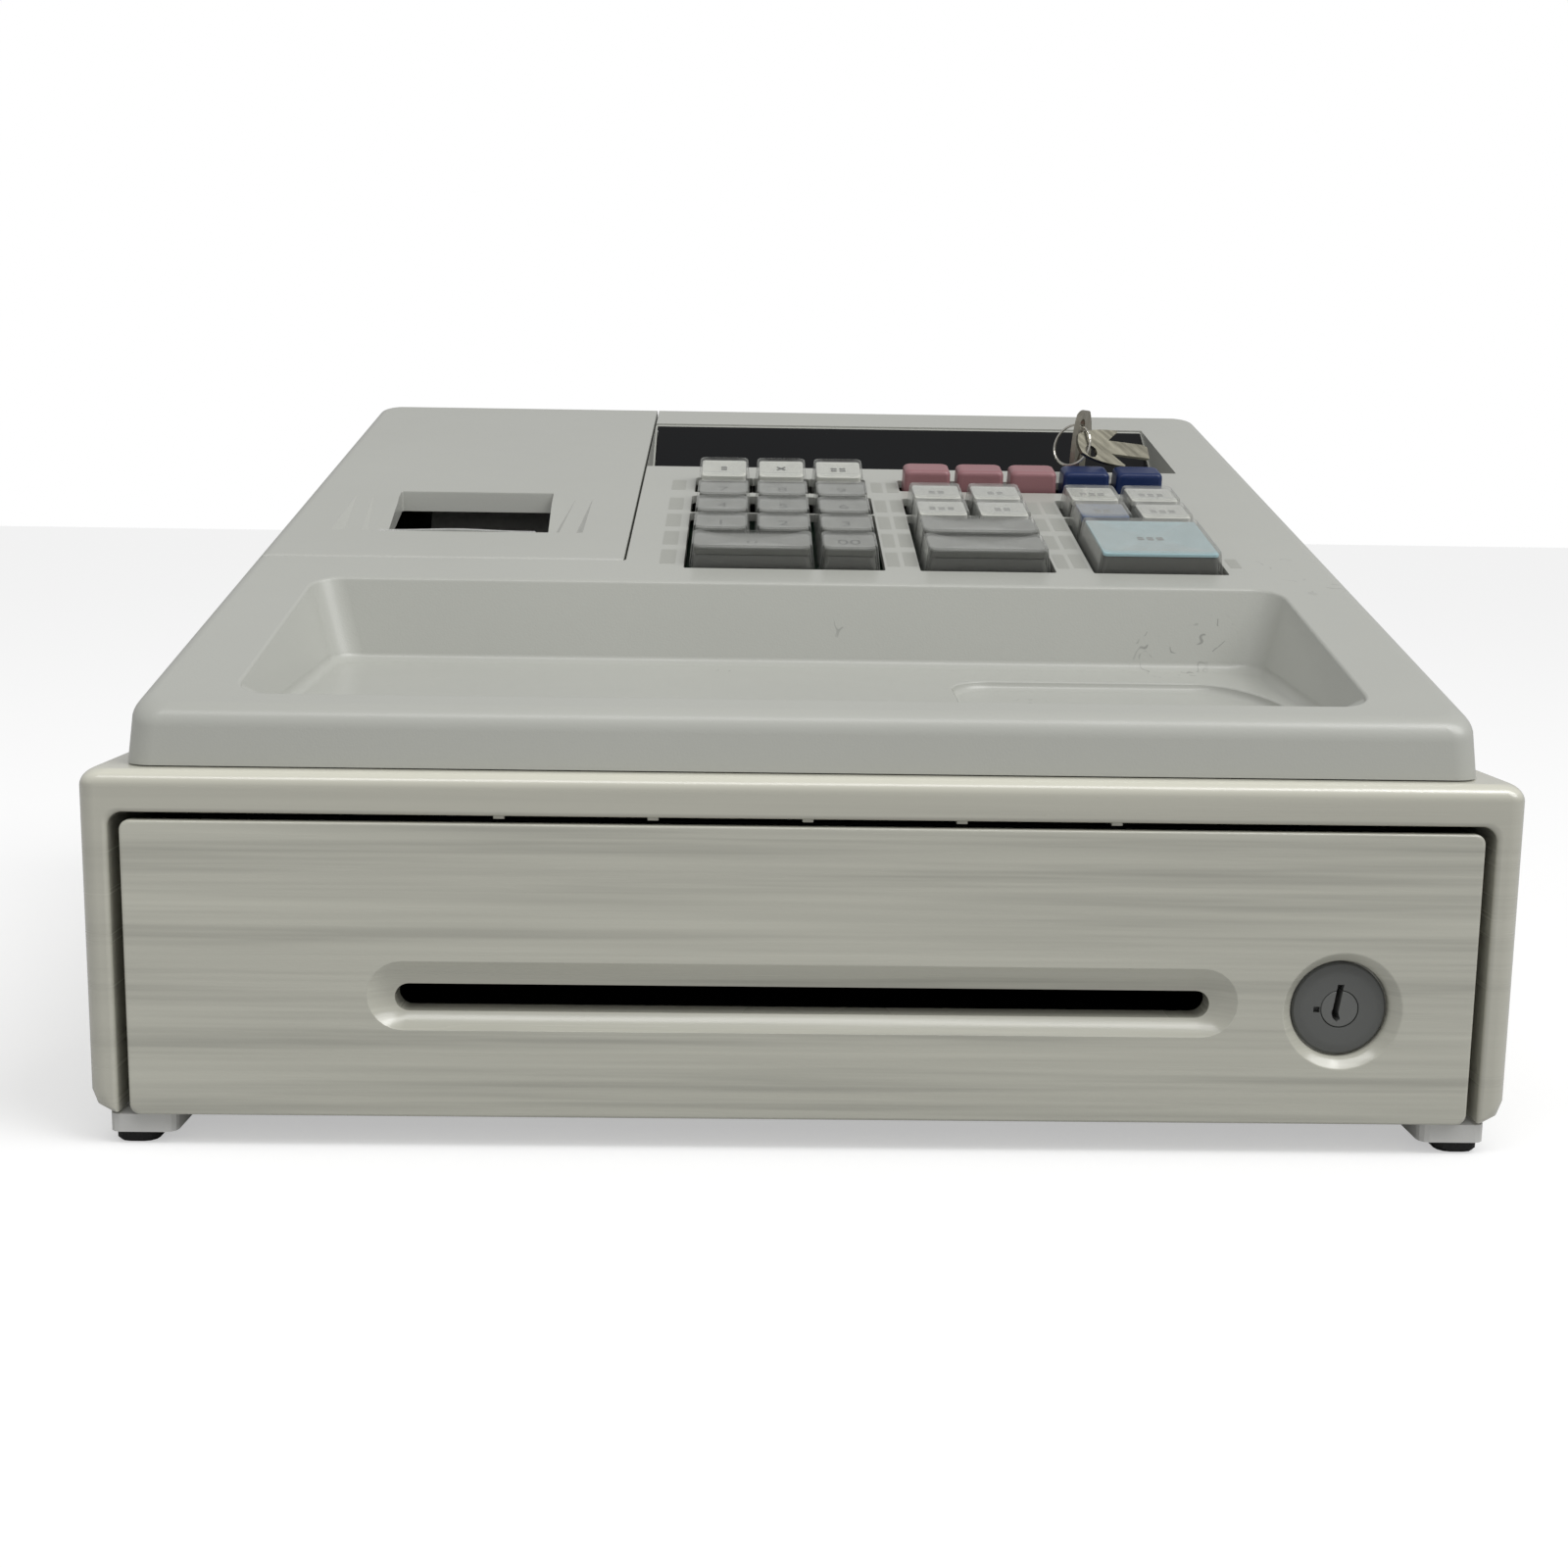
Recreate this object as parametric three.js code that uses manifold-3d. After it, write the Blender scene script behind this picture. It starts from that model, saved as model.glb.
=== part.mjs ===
// Small electronic cash register: a cash drawer in a low cabinet, with a sloped keyboard housing on top.
// Millimetres, +Z up. While drawing, y = 0 is the drawer's front face and y grows to the rear;
// the outer group then moves everything forward by half the depth, so the origin is bottom centre.
import * as THREE from 'three';
import { mergeVertices } from 'three/addons/utils/BufferGeometryUtils.js';
import Module from 'manifold-3d';

const wasm = await Module();
wasm.setup();

// ---------------------------------------------------------------- driving dimensions
const DEPTH = 355;              // overall, gland included
const GAP = 0.3;                // air between pieces that touch on the real object
const SEAM = 0.35;              // half of a visible seam

const CAB_HALF = 167.5;         // lower cabinet
const CAB_REAR = 352;
const CAB_TOP = 89.7;
const CAB_SIDE_BOTTOM = 8.5;
const CAB_WALL = 3.2;
const CAB_ROUND = 4;            // its top edge
const CAB_CORNER = 4.5;         // its upright corners
const CAB_TUCK = 4;             // how far the bottom edge is drawn in
const HARNESS_X = [60, 90];     // hole in its top for the wiring
const HARNESS_Y = [120, 150];
const GLAND_X = -120;           // where the mains lead enters the rear wall
const GLAND_Z = 52;
const GLAND_NECK_R = 5.9;
const GLAND_BORE_R = 3.6;
const FRAME_HALF = 159.7;       // the opening that the drawer's front fills
const FRAME_TOP = 79.9;
const FRAME_DEEP = 14;
const FRAME_CORNER = 3.5;
const FRAME_LIP = 1.2;

const BASE_FRONT = 16;          // moulded base inside the cabinet
const BASE_HALF = 162.6;
const BASE_Z = [4.6, 7.2];
const FLANGE_X = [161.2, 163.9];
const FLANGE_TOP = 26;
const RAIL_X = 118;
const RAIL_TOP = 9.1;
const BOSS_X = [147.6, 163.4];
const BOSS_BOTTOM = 3.1;
const BOSS_LONG = 30;
const FOOT_X = 157.7;
const FOOT_Y = [13, 317];
const FOOT_TALL = 2.8;

const FRONT_HALF = 157.8;       // drawer front panel
const FRONT_BOTTOM = 8;
const FRONT_TOP = 78.7;
const FRONT_THICK = 10;

const SLOT_HALF = 96;           // media slot in the drawer front
const SLOT_BOTTOM = 32.8;
const SLOT_TOP = 39.4;
const SLOT_DISH_BOTTOM = 29.3;
const SLOT_DISH_TOP = 45.2;
const SLOT_DISH_HALF = 101.5;
const SLOT_DISH_DEEP = 4.5;

const LOCK_X = 126.7;           // drawer lock
const LOCK_Z = 35.6;
const LOCK_DISC_R = 11.2;
const LOCK_DISH_R = 14;
const LOCK_BARREL_R = 8.2;
const LOCK_PLUG_R = 4.4;
const LOCK_BARREL_END = 25;

const BODY_HALF = 156.2;        // drawer body behind its front
const BODY_BOTTOM = 9.4;
const BODY_TOP = 71;
const BODY_REAR = 334;
const BODY_WALL = 2.4;
const LEDGE_TOP = 40.2;

const TILL_HALF = 152.6;        // removable till tray
const TILL_FRONT = 31;
const TILL_REAR = 306;
const TILL_BOTTOM = 40.6;
const TILL_TOP = 74;
const TILL_WALL = 2.2;
const TILL_FLOOR = 43.2;
const CUP_REAR = 122;           // rear edge of the coin cups
const ARM_Y = 296;              // bill arm hinge line
const ARM_Z = 60;
const ARM_LENGTH = 92;
const ARM_DROP = 12;            // the pad's fall below the hinge line
const ARM_PIN_R = 1.6;
const ARM_BARREL_R = 3.6;
const ARM_EAR_X = [9, 12];      // the till's ears that hold the pins, from the arm's middle
const COIN_CUPS = 6;
const BILL_WELLS = 3;

const SLOPE = THREE.MathUtils.degToRad(14.715);   // the keyboard deck
const DECK_Z = 101.74;          // deck height where y = 0
const SKIN = 2.6;
const EDGE = 4.5;               // rounding of the deck's edges
const HOUSING_HALF = 158.8;
const HOUSING_EDGE_HALF = 157.6;
const HOUSING_FRONT = 6;
const HOUSING_BASE = 90;
const HOUSING_REAR = 346;
const DECK_REAR = 320;
const HOUSING_CORNER = 7;

const COVER_RIGHT = -50.4;      // printer cover seams
const COVER_FRONT = 128.3;
const COVER_SKIRT = 20;
const EXIT_X = [-126, -77];     // paper exit
const EXIT_S = [155.3, 201.3];
const RAMP_OUT = 11;
const RAMP_DEEP = 4.5;

const TRAY_HALF = 135;          // coin tray pressed into the deck
const TRAY_S = [17.3, 107.8];
const TRAY_FLOOR_Y = [21, 99];
const TRAY_FLOOR_Z = [99.4, 106.4];
const TRAY_FLOOR_HALF = 129.5;
const TRAY_CORNER = 5;
const TRAY_FILLET = 4;
const PEN_X = [33, 113];
const PEN_Y = [26, 77];
const PEN_DEEP = 2.4;

const DISPLAY_X = [-50, 133];   // display recess
const DISPLAY_S = [239.3, 304.3];
const WINDOW_LEAN = THREE.MathUtils.degToRad(36);
const WINDOW_RUN = 46;
const WINDOW_THICK = 2;
const WINDOW_SET = 0.3;         // the window lies this far under the recess's rear face
const WINDOW_INSET = 0.8;

const KEY_PITCH_X = 18.9;
const KEY_PITCH_S = 19.6;
const KEY_WIDE = 17.8;
const KEY_DEEP = 18.7;
const KEY_TALL = 6.3;
const KEY_BELOW = 5;
const BOARD_H = -15.6;          // underside of the board that the keys press on, in deck space
const ROW_FRONT = 122.6;        // s of the lowest key row's front edge
const TOP_ROW_FRONT = 206.3;
const TOP_ROW_DEEP = 17.3;
const GROUP_LEFT = [-31.8, 36.5, 86.6];
const GROUP_COLUMNS = [3, 2, 2];
const MARGIN = 1.2;             // between a key and the cut-out around it
const SOLID_PITCH = 17.65;      // the five solid keys of the top row
const SOLID_WIDE = 15.8;
const SOLID_S = [211.6, 223.4];
const SOLID_TALL = 6.6;

const MODE_X = 98;              // mode lock, in the strip behind the keys
const MODE_S = 232;
const MODE_FLANGE_R = 6.2;
const MODE_BARREL_R = 4.9;
const MODE_ROTOR_R = 4;
const MODE_TURN = THREE.MathUtils.degToRad(58);   // how the key stands in its rest position
const KEY_PULL = 1.6;           // how far the mode key stands out of the lock
const KEY_SHEET = 1.8;          // mode key thickness
const SPARE_SHEET = 1.2;
const RING_R = 7;
const RING_WIRE = 0.42;
const RING_CROSS = [-8.7, 4.4]; // where the ring passes the bow's edge, in the key's own space
const RING_TWIST = THREE.MathUtils.degToRad(-14);
const SPARE_AT = -70;           // degrees round the ring from its lowest point
const SPARE_ALONG = [0.9, 0.36, -0.18];
const SPARE_SHIFT = [1.3, 0.15, 0.45];   // the ring lies against the side of the spare's hole
const SPARE_FACE = [0.42, -0.62, 0.7];

const ROLL_R = 27;              // paper roll and printer
const ROLL_Y = 252;
const ROLL_Z = 128;
const ROLL_HALF = 22.4;
const ROLL_X = (EXIT_X[0] + EXIT_X[1]) / 2;
const ROLL_CORE_R = 6;
const PRINTER_HALF = 29;
const PLATEN_R = 5.4;
const PLATEN_AXLE_R = 2;
const GEAR_ROOT_R = 6.2;
const GEAR_TIP_R = 7.6;
const PLATEN_Y = 172;
const PLATEN_Z = 126;

// ---------------------------------------------------------------- solids
function indexed(geometry) {
  const bare = geometry.clone();
  bare.deleteAttribute('normal');
  bare.deleteAttribute('uv');
  return mergeVertices(bare, 1e-4);
}

function signedVolume(geometry) {
  const at = geometry.attributes.position;
  const index = geometry.index.array;
  const corner = [new THREE.Vector3(), new THREE.Vector3(), new THREE.Vector3()];
  let sum = 0;
  for (let i = 0; i < index.length; i += 3) {
    corner.forEach((v, k) => v.fromBufferAttribute(at, index[i + k]));
    sum += corner[0].dot(corner[1].clone().cross(corner[2]));
  }
  return sum / 6;
}

function outward(geometry) {
  const merged = indexed(geometry);
  if (signedVolume(merged) < 0) {
    const index = merged.index.array;
    for (let i = 0; i < index.length; i += 3) [index[i], index[i + 1]] = [index[i + 1], index[i]];
  }
  return merged;
}

function toManifold(geometry) {
  const merged = outward(geometry);
  return new wasm.Manifold(new wasm.Mesh({
    numProp: 3,
    vertProperties: new Float32Array(merged.attributes.position.array),
    triVerts: new Uint32Array(merged.index.array),
  }));
}

function toGeometry(manifold) {
  const mesh = manifold.getMesh();
  const geometry = new THREE.BufferGeometry();
  geometry.setAttribute('position', new THREE.BufferAttribute(new Float32Array(mesh.vertProperties), 3));
  geometry.setIndex(new THREE.BufferAttribute(new Uint32Array(mesh.triVerts), 1));
  return geometry;
}

const join = (...pieces) => toGeometry(pieces.map(toManifold).reduce((a, b) => a.add(b)));
const cut = (base, ...tools) => toGeometry(
  tools.map(toManifold).reduce((a, b) => a.subtract(b), toManifold(base)));
const common = (a, b) => toGeometry(toManifold(a).intersect(toManifold(b)));

function box([x0, x1], [y0, y1], [z0, z1]) {
  const geometry = new THREE.BoxGeometry(x1 - x0, y1 - y0, z1 - z0);
  return geometry.translate((x0 + x1) / 2, (y0 + y1) / 2, (z0 + z1) / 2);
}

// One closed outline of a rounded rectangle; height(x, y) lifts each point.
function ring([x0, x1], [y0, y1], radius, height, steps = 3) {
  const centres = [[x1 - radius, y0 + radius, -90], [x1 - radius, y1 - radius, 0],
    [x0 + radius, y1 - radius, 90], [x0 + radius, y0 + radius, 180]];
  const lift = typeof height === 'function' ? height : () => height;
  const points = [];
  for (const [cx, cy, start] of centres) {
    for (let i = 0; i <= steps; i += 1) {
      const angle = THREE.MathUtils.degToRad(start + (90 * i) / steps);
      const x = cx + radius * Math.cos(angle);
      const y = cy + radius * Math.sin(angle);
      points.push([x, y, lift(x, y)]);
    }
  }
  return points;
}

// A closed solid through outlines with equal numbers of points, from the lowest to the highest.
function loft(rings) {
  const count = rings[0].length;
  const index = [];
  for (let k = 0; k + 1 < rings.length; k += 1) {
    for (let i = 0; i < count; i += 1) {
      const a = k * count + i;
      const b = k * count + ((i + 1) % count);
      index.push(a, b, b + count, a, b + count, a + count);
    }
  }
  const top = (rings.length - 1) * count;
  for (let i = 1; i + 1 < count; i += 1) index.push(0, i + 1, i, top, top + i, top + i + 1);
  const geometry = new THREE.BufferGeometry();
  geometry.setAttribute('position', new THREE.Float32BufferAttribute(rings.flat(2), 3));
  geometry.setIndex(index);
  return outward(geometry);
}

const block = (xs, ys, [z0, z1], radius, steps = 3) => loft([
  ring(xs, ys, radius, z0, steps), ring(xs, ys, radius, z1, steps)]);

const inset = ([low, high], by) => [low + by, high - by];
const sided = ([low, high], side) => (side < 0 ? [-high, -low] : [low, high]);
const around = (middle, half) => [middle - half, middle + half];

// Extrudes a closed x-z outline from y0 to y1, or a y-z outline from x0 to x1.
function sweepY(points, [y0, y1]) {
  const shape = new THREE.Shape(points.map(([x, z]) => new THREE.Vector2(x, z)));
  const solid = new THREE.ExtrudeGeometry(shape, { depth: y1 - y0, bevelEnabled: false });
  return solid.rotateX(Math.PI / 2).translate(0, y1, 0);
}

function sweepX(points, [x0, x1]) {
  const shape = new THREE.Shape(points.map(([y, z]) => new THREE.Vector2(y, z)));
  const solid = new THREE.ExtrudeGeometry(shape, { depth: x1 - x0, bevelEnabled: false });
  const axes = new THREE.Matrix4().makeBasis(
    new THREE.Vector3(0, 1, 0), new THREE.Vector3(0, 0, 1), new THREE.Vector3(1, 0, 0));
  return solid.applyMatrix4(axes).translate(x0, 0, 0);
}

// A turned solid about the y axis through (x, z), or about a vertical axis, or about x.
const turned = (profile, segments = 28) => outward(new THREE.LatheGeometry(
  profile.map(([r, along]) => new THREE.Vector2(r, along)), segments));
const turnedY = (profile, x, z, segments) => turned(profile, segments).translate(x, 0, z);
const turnedZ = (profile, x, y, segments) => (
  turned(profile, segments).rotateX(Math.PI / 2).translate(x, y, 0));
const turnedX = (profile, y, z, segments) => (
  turned(profile, segments).rotateZ(-Math.PI / 2).translate(0, y, z));
const rod = (radius, [from, to]) => [[0, from], [radius, from], [radius, to], [0, to]];
const rodX = (radius, xs, y, z, segments) => turnedX(rod(radius, xs), y, z, segments);
const rodY = (radius, ys, x, z, segments) => turnedY(rod(radius, ys), x, z, segments);
const rodZ = (radius, zs, x, y, segments) => turnedZ(rod(radius, zs), x, y, segments);

// Deck space: x, s along the slope, h above the deck. deckSolid moves it into the drawing space.
const deckMatrix = new THREE.Matrix4().makeRotationX(SLOPE).setPosition(0, 0, DECK_Z);
const deckSolid = (geometry) => geometry.clone().applyMatrix4(deckMatrix);
const deckHeight = (y) => DECK_Z + y * Math.tan(SLOPE);
const deckY = (s) => s * Math.cos(SLOPE);

// ---------------------------------------------------------------- the scene graph
const model = new THREE.Group();
model.position.y = -DEPTH / 2;
const deck = new THREE.Group();
deck.rotation.x = SLOPE;
deck.position.z = DECK_Z;
model.add(deck);

const finishes = {
  cabinet: [0xd8d5cb, 0.35, 0],
  housing: [0xcfcfc8, 0.62, 0],
  base: [0xb9b9b4, 0.6, 0],
  rubber: [0x1d1d1e, 0.9, 0],
  drawer: [0x3a3b3d, 0.6, 0],
  till: [0x2a2b2d, 0.55, 0],
  steel: [0xb7b8b8, 0.35, 1],
  nickel: [0xb0aa98, 0.32, 1],
  black: [0x17181a, 0.5, 0],
  smoke: [0x1a1c20, 0.12, 0],
  board: [0x2f6b45, 0.6, 0],
  lockGrey: [0x8f9091, 0.45, 0],
  paper: [0xf3f1ea, 0.9, 0],
  keyGrey: [0x9fa19c, 0.25, 0],
  keyWhite: [0xd9dad5, 0.25, 0],
  keyPink: [0xc98a98, 0.4, 0],
  keyBlue: [0x3c4f86, 0.4, 0],
  keyLilac: [0xa7aebf, 0.25, 0],
  keyCyan: [0xa9c4ca, 0.25, 0],
};

function piece(name, geometry, finish, parent = model) {
  const [color, roughness, metalness] = finishes[finish];
  const mesh = new THREE.Mesh(geometry, new THREE.MeshStandardMaterial({ color, roughness, metalness }));
  mesh.name = name;
  parent.add(mesh);
  return mesh;
}

// ---------------------------------------------------------------- lower cabinet and base
function cabinetShell() {
  const xs = [-CAB_HALF, CAB_HALF];
  const foot = inset(xs, CAB_TUCK);
  const rounded = [30, 60, 90].map((degrees) => {
    const angle = THREE.MathUtils.degToRad(degrees);
    const by = CAB_ROUND * (1 - Math.cos(angle));
    const z = CAB_TOP - CAB_ROUND * (1 - Math.sin(angle));
    return ring(inset(xs, by), inset([0, CAB_REAR], by), CAB_CORNER, z, 4);
  });
  const outer = loft([
    ring(foot, [0, CAB_REAR], CAB_CORNER, CAB_SIDE_BOTTOM, 4),
    ring(xs, [0, CAB_REAR], CAB_CORNER, CAB_SIDE_BOTTOM + CAB_TUCK, 4),
    ring(xs, [0, CAB_REAR], CAB_CORNER, CAB_TOP - CAB_ROUND, 4),
    ...rounded,
  ]);
  const bay = box([-CAB_HALF + CAB_WALL, CAB_HALF - CAB_WALL], [FRAME_DEEP, CAB_REAR - CAB_WALL],
    [0, CAB_TOP - CAB_WALL]);
  const mouth = sweepY(frameOutline(0), [-1, FRAME_DEEP + 1]);
  const chamfer = sweepLoftY(frameOutline(FRAME_LIP), frameOutline(0), 0, FRAME_LIP);
  const gland = rodY(GLAND_NECK_R + GAP, [CAB_REAR - 10, CAB_REAR + 2], GLAND_X, GLAND_Z, 20);
  const harness = box(HARNESS_X, HARNESS_Y, [CAB_TOP - 8, CAB_TOP + 2]);
  return cut(outer, bay, mouth, chamfer, gland, harness);
}

// The frame's opening, grown by `lip`: open below, with two rounded upper corners.
function frameOutline(lip) {
  const half = FRAME_HALF + lip;
  const middle = FRAME_TOP + lip - FRAME_CORNER;
  const points = [[-half, -5], [half, -5]];
  for (const [cx, start] of [[half - FRAME_CORNER, 0], [-half + FRAME_CORNER, 90]]) {
    for (let i = 0; i <= 4; i += 1) {
      const angle = THREE.MathUtils.degToRad(start + (90 * i) / 4);
      points.push([cx + FRAME_CORNER * Math.cos(angle), middle + FRAME_CORNER * Math.sin(angle)]);
    }
  }
  return points;
}

// A solid between two x-z outlines with equal numbers of points, at y0 and y1.
function sweepLoftY(front, rear, y0, y1) {
  const lower = rear.map(([x, z]) => [x, y1, z]);
  const upper = front.map(([x, z]) => [x, y0 - 0.01, z]);
  return loft([lower, upper]);
}

// Moulded base: floor, side flanges inside the cabinet, two drawer rails and four foot bosses.
function basePlate() {
  const plate = block([-BASE_HALF, BASE_HALF], [BASE_FRONT, CAB_REAR - 5], BASE_Z, 3);
  const flanges = [-1, 1].map((side) => (
    box(sided(FLANGE_X, side), [BASE_FRONT + 8, CAB_REAR - 6], [BASE_Z[0], FLANGE_TOP])));
  const rails = [-RAIL_X, RAIL_X].map((x) => (
    box(around(x, 5), [30, BODY_REAR - 4], [BASE_Z[1] - 0.2, RAIL_TOP])));
  const bosses = [-1, 1].flatMap((side) => FOOT_Y.map((y) => (
    block(sided(BOSS_X, side), [y - 11, y - 11 + BOSS_LONG], [BOSS_BOTTOM, BASE_Z[1] + 0.3], 2.5))));
  return join(plate, ...flanges, ...rails, ...bosses);
}

function foot(x, y) {
  const level = (halfX, halfY, radius, z) => ring(around(x, halfX), around(y, halfY), radius, z);
  return loft([level(4.6, 8.6, 3, 0), level(5.3, 9.3, 3.6, 0.8), level(5.3, 9.3, 3.6, FOOT_TALL)]);
}

piece('cabinet_shell', cabinetShell(), 'cabinet');
piece('base_plate', basePlate(), 'base');
['front', 'rear'].forEach((end, i) => {
  piece(`foot_${end}_left`, foot(-FOOT_X, FOOT_Y[i]), 'rubber');
  piece(`foot_${end}_right`, foot(FOOT_X, FOOT_Y[i]), 'rubber');
});

// A rubber bushing closes the hole where the mains lead enters the cabinet's rear wall.
const glandProfile = [[GLAND_BORE_R, CAB_REAR - 8], [8, CAB_REAR - 8], [8, CAB_REAR - CAB_WALL - GAP],
  [GLAND_NECK_R, CAB_REAR - CAB_WALL - GAP], [GLAND_NECK_R, CAB_REAR + GAP], [8.4, CAB_REAR + GAP],
  [7.4, DEPTH], [GLAND_BORE_R, DEPTH], [GLAND_BORE_R, CAB_REAR - 8]];
piece('cord_inlet', turnedY(glandProfile, GLAND_X, GLAND_Z, 20), 'rubber');

// ---------------------------------------------------------------- drawer
// A stadium outline in x-z: a full-round ended slot.
function stadium(half, [z0, z1], steps = 6) {
  const radius = (z1 - z0) / 2;
  const middle = (z0 + z1) / 2;
  const points = [];
  for (const [cx, start] of [[half - radius, -90], [-half + radius, 90]]) {
    for (let i = 0; i <= steps; i += 1) {
      const angle = THREE.MathUtils.degToRad(start + (180 * i) / steps);
      points.push([cx + radius * Math.cos(angle), middle + radius * Math.sin(angle)]);
    }
  }
  return points;
}

function drawerFront() {
  const xs = [-FRONT_HALF, FRONT_HALF];
  const zs = [FRONT_BOTTOM, FRONT_TOP];
  const edge = 1.4;
  const flat = (by, y) => ring(inset(xs, by), inset(zs, by), 2.2, 0).map(([x, z]) => [x, y, z]);
  const panel = loft([flat(0, FRONT_THICK), flat(0, edge), flat(edge * 0.3, edge * 0.3), flat(edge, 0)]);
  const dish = sweepLoftY(stadium(SLOT_DISH_HALF, [SLOT_DISH_BOTTOM, SLOT_DISH_TOP]),
    stadium(SLOT_HALF, [SLOT_BOTTOM, SLOT_TOP]), 0, SLOT_DISH_DEEP);
  const slot = sweepY(stadium(SLOT_HALF, [SLOT_BOTTOM, SLOT_TOP]), [1, FRONT_THICK + 1]);
  const seat = LOCK_DISC_R + 0.6;
  const bore = LOCK_BARREL_R + GAP;
  const lockDish = turnedY([[0, -0.01], [LOCK_DISH_R, -0.01], [seat, 2.4], [seat, 4.2], [bore, 4.2],
    [bore, FRONT_THICK + 1], [0, FRONT_THICK + 1]], LOCK_X, LOCK_Z);
  return cut(panel, dish, slot, lockDish);
}

function drawerBody() {
  const xs = [-BODY_HALF, BODY_HALF];
  const ys = [FRONT_THICK + GAP, BODY_REAR];
  const outer = block(xs, ys, [BODY_BOTTOM, BODY_TOP], 5);
  const floor = BODY_BOTTOM + BODY_WALL;
  const inner = block(inset(xs, BODY_WALL), inset(ys, BODY_WALL), [floor, BODY_TOP + 1], 4);
  const ledges = [-1, 1].map((side) => (
    box(sided([BODY_HALF - 8, BODY_HALF - 1], side), [TILL_FRONT, TILL_REAR], [floor - 1, LEDGE_TOP])));
  const slot = box([-SLOT_HALF - 2, SLOT_HALF + 2], [FRONT_THICK - 1, 16], [SLOT_BOTTOM - 3, SLOT_TOP]);
  const bore = rodY(LOCK_BARREL_R + 0.5, [FRONT_THICK - 2, 16], LOCK_X, LOCK_Z, 24);
  return cut(join(cut(outer, inner), ...ledges), slot, bore);
}

// Pockets of the till: a row of round-bottomed coin cups, and three bill wells behind them.
function tillPockets() {
  const pockets = [];
  const coinPitch = (2 * TILL_HALF - TILL_WALL) / COIN_CUPS;
  for (let i = 0; i < COIN_CUPS; i += 1) {
    const xs = [-TILL_HALF + TILL_WALL + i * coinPitch, -TILL_HALF + (i + 1) * coinPitch];
    const ys = [TILL_FRONT + TILL_WALL, CUP_REAR];
    pockets.push(loft([
      ring(inset(xs, 9), [ys[0] + 16, ys[1] - 9], 6, TILL_FLOOR),
      ring(inset(xs, 3), [ys[0] + 6, ys[1] - 3], 6, TILL_FLOOR + 5),
      ring(xs, ys, 4, TILL_FLOOR + 14),
      ring(xs, ys, 4, TILL_TOP + 1)]));
  }
  for (let i = 0; i < BILL_WELLS; i += 1) {
    const xs = [-TILL_HALF + TILL_WALL + i * billPitch, -TILL_HALF + (i + 1) * billPitch];
    pockets.push(block(xs, [CUP_REAR + TILL_WALL, TILL_REAR - TILL_WALL], [TILL_FLOOR, TILL_TOP + 1], 4));
  }
  return pockets;
}

const billPitch = (2 * TILL_HALF - TILL_WALL) / BILL_WELLS;
const billMiddle = (i) => -TILL_HALF + TILL_WALL / 2 + (i + 0.5) * billPitch;

function tillTray() {
  const outer = loft([
    ring([-TILL_HALF + 1, TILL_HALF - 1], [TILL_FRONT + 1, TILL_REAR - 1], 4, TILL_BOTTOM),
    ring([-TILL_HALF, TILL_HALF], [TILL_FRONT, TILL_REAR], 5, TILL_TOP)]);
  let tray = cut(outer, ...tillPockets());
  for (let i = 0; i < BILL_WELLS; i += 1) {
    const x = billMiddle(i);
    const ears = [-1, 1].map((side) => box(
      sided(ARM_EAR_X, side), [ARM_Y - 7, TILL_REAR - 1], [TILL_FLOOR - 1, ARM_Z + 5]).translate(x, 0, 0));
    const hole = rodX(ARM_PIN_R + GAP, around(x, 20), ARM_Y, ARM_Z, 16);
    tray = cut(join(tray, ...ears), hole);
  }
  return tray;
}

// The spring-loaded arm that holds notes down: a hinge barrel with pins, a strap and a turned-up pad.
function billArm(i) {
  const x = billMiddle(i);
  const pins = rodX(ARM_PIN_R, around(x, ARM_EAR_X[1] - 0.4), ARM_Y, ARM_Z, 16);
  const barrel = rodX(ARM_BARREL_R, around(x, ARM_EAR_X[0] - 0.4), ARM_Y, ARM_Z, 16);
  const tip = ARM_Y - ARM_LENGTH;
  const low = ARM_Z - ARM_DROP;
  const strap = sweepX([[ARM_Y, ARM_Z - 1.2], [ARM_Y, ARM_Z + 1.2], [ARM_Y - 30, ARM_Z - 1.5],
    [tip + 14, low + 2.2], [tip, low + 2.2], [tip - 6, low + 6.4], [tip - 7.5, low + 5],
    [tip, low], [tip + 14, low], [ARM_Y - 30, ARM_Z - 3.9]], around(x, 8));
  const pad = block(around(x, 14), [tip, tip + 16], [low + 0.2, low + 2], 4);
  return join(pins, barrel, strap, pad);
}

piece('drawer_front', drawerFront(), 'cabinet');
piece('drawer_body', drawerBody(), 'drawer');
piece('till_tray', tillTray(), 'till');
for (let i = 0; i < BILL_WELLS; i += 1) piece(`bill_arm_${i + 1}`, billArm(i), 'black');

const plugBore = LOCK_PLUG_R + 0.25;
const lockBezelProfile = [[plugBore, 1.2], [LOCK_DISC_R - 2.2, 1.2], [LOCK_DISC_R - 0.7, 0.5],
  [LOCK_DISC_R, 1], [LOCK_DISC_R, 3.9], [LOCK_BARREL_R, 3.9], [LOCK_BARREL_R, LOCK_BARREL_END],
  [plugBore, LOCK_BARREL_END], [plugBore, 1.2]];
piece('lock_bezel', turnedY(lockBezelProfile, LOCK_X, LOCK_Z), 'lockGrey');

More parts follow.
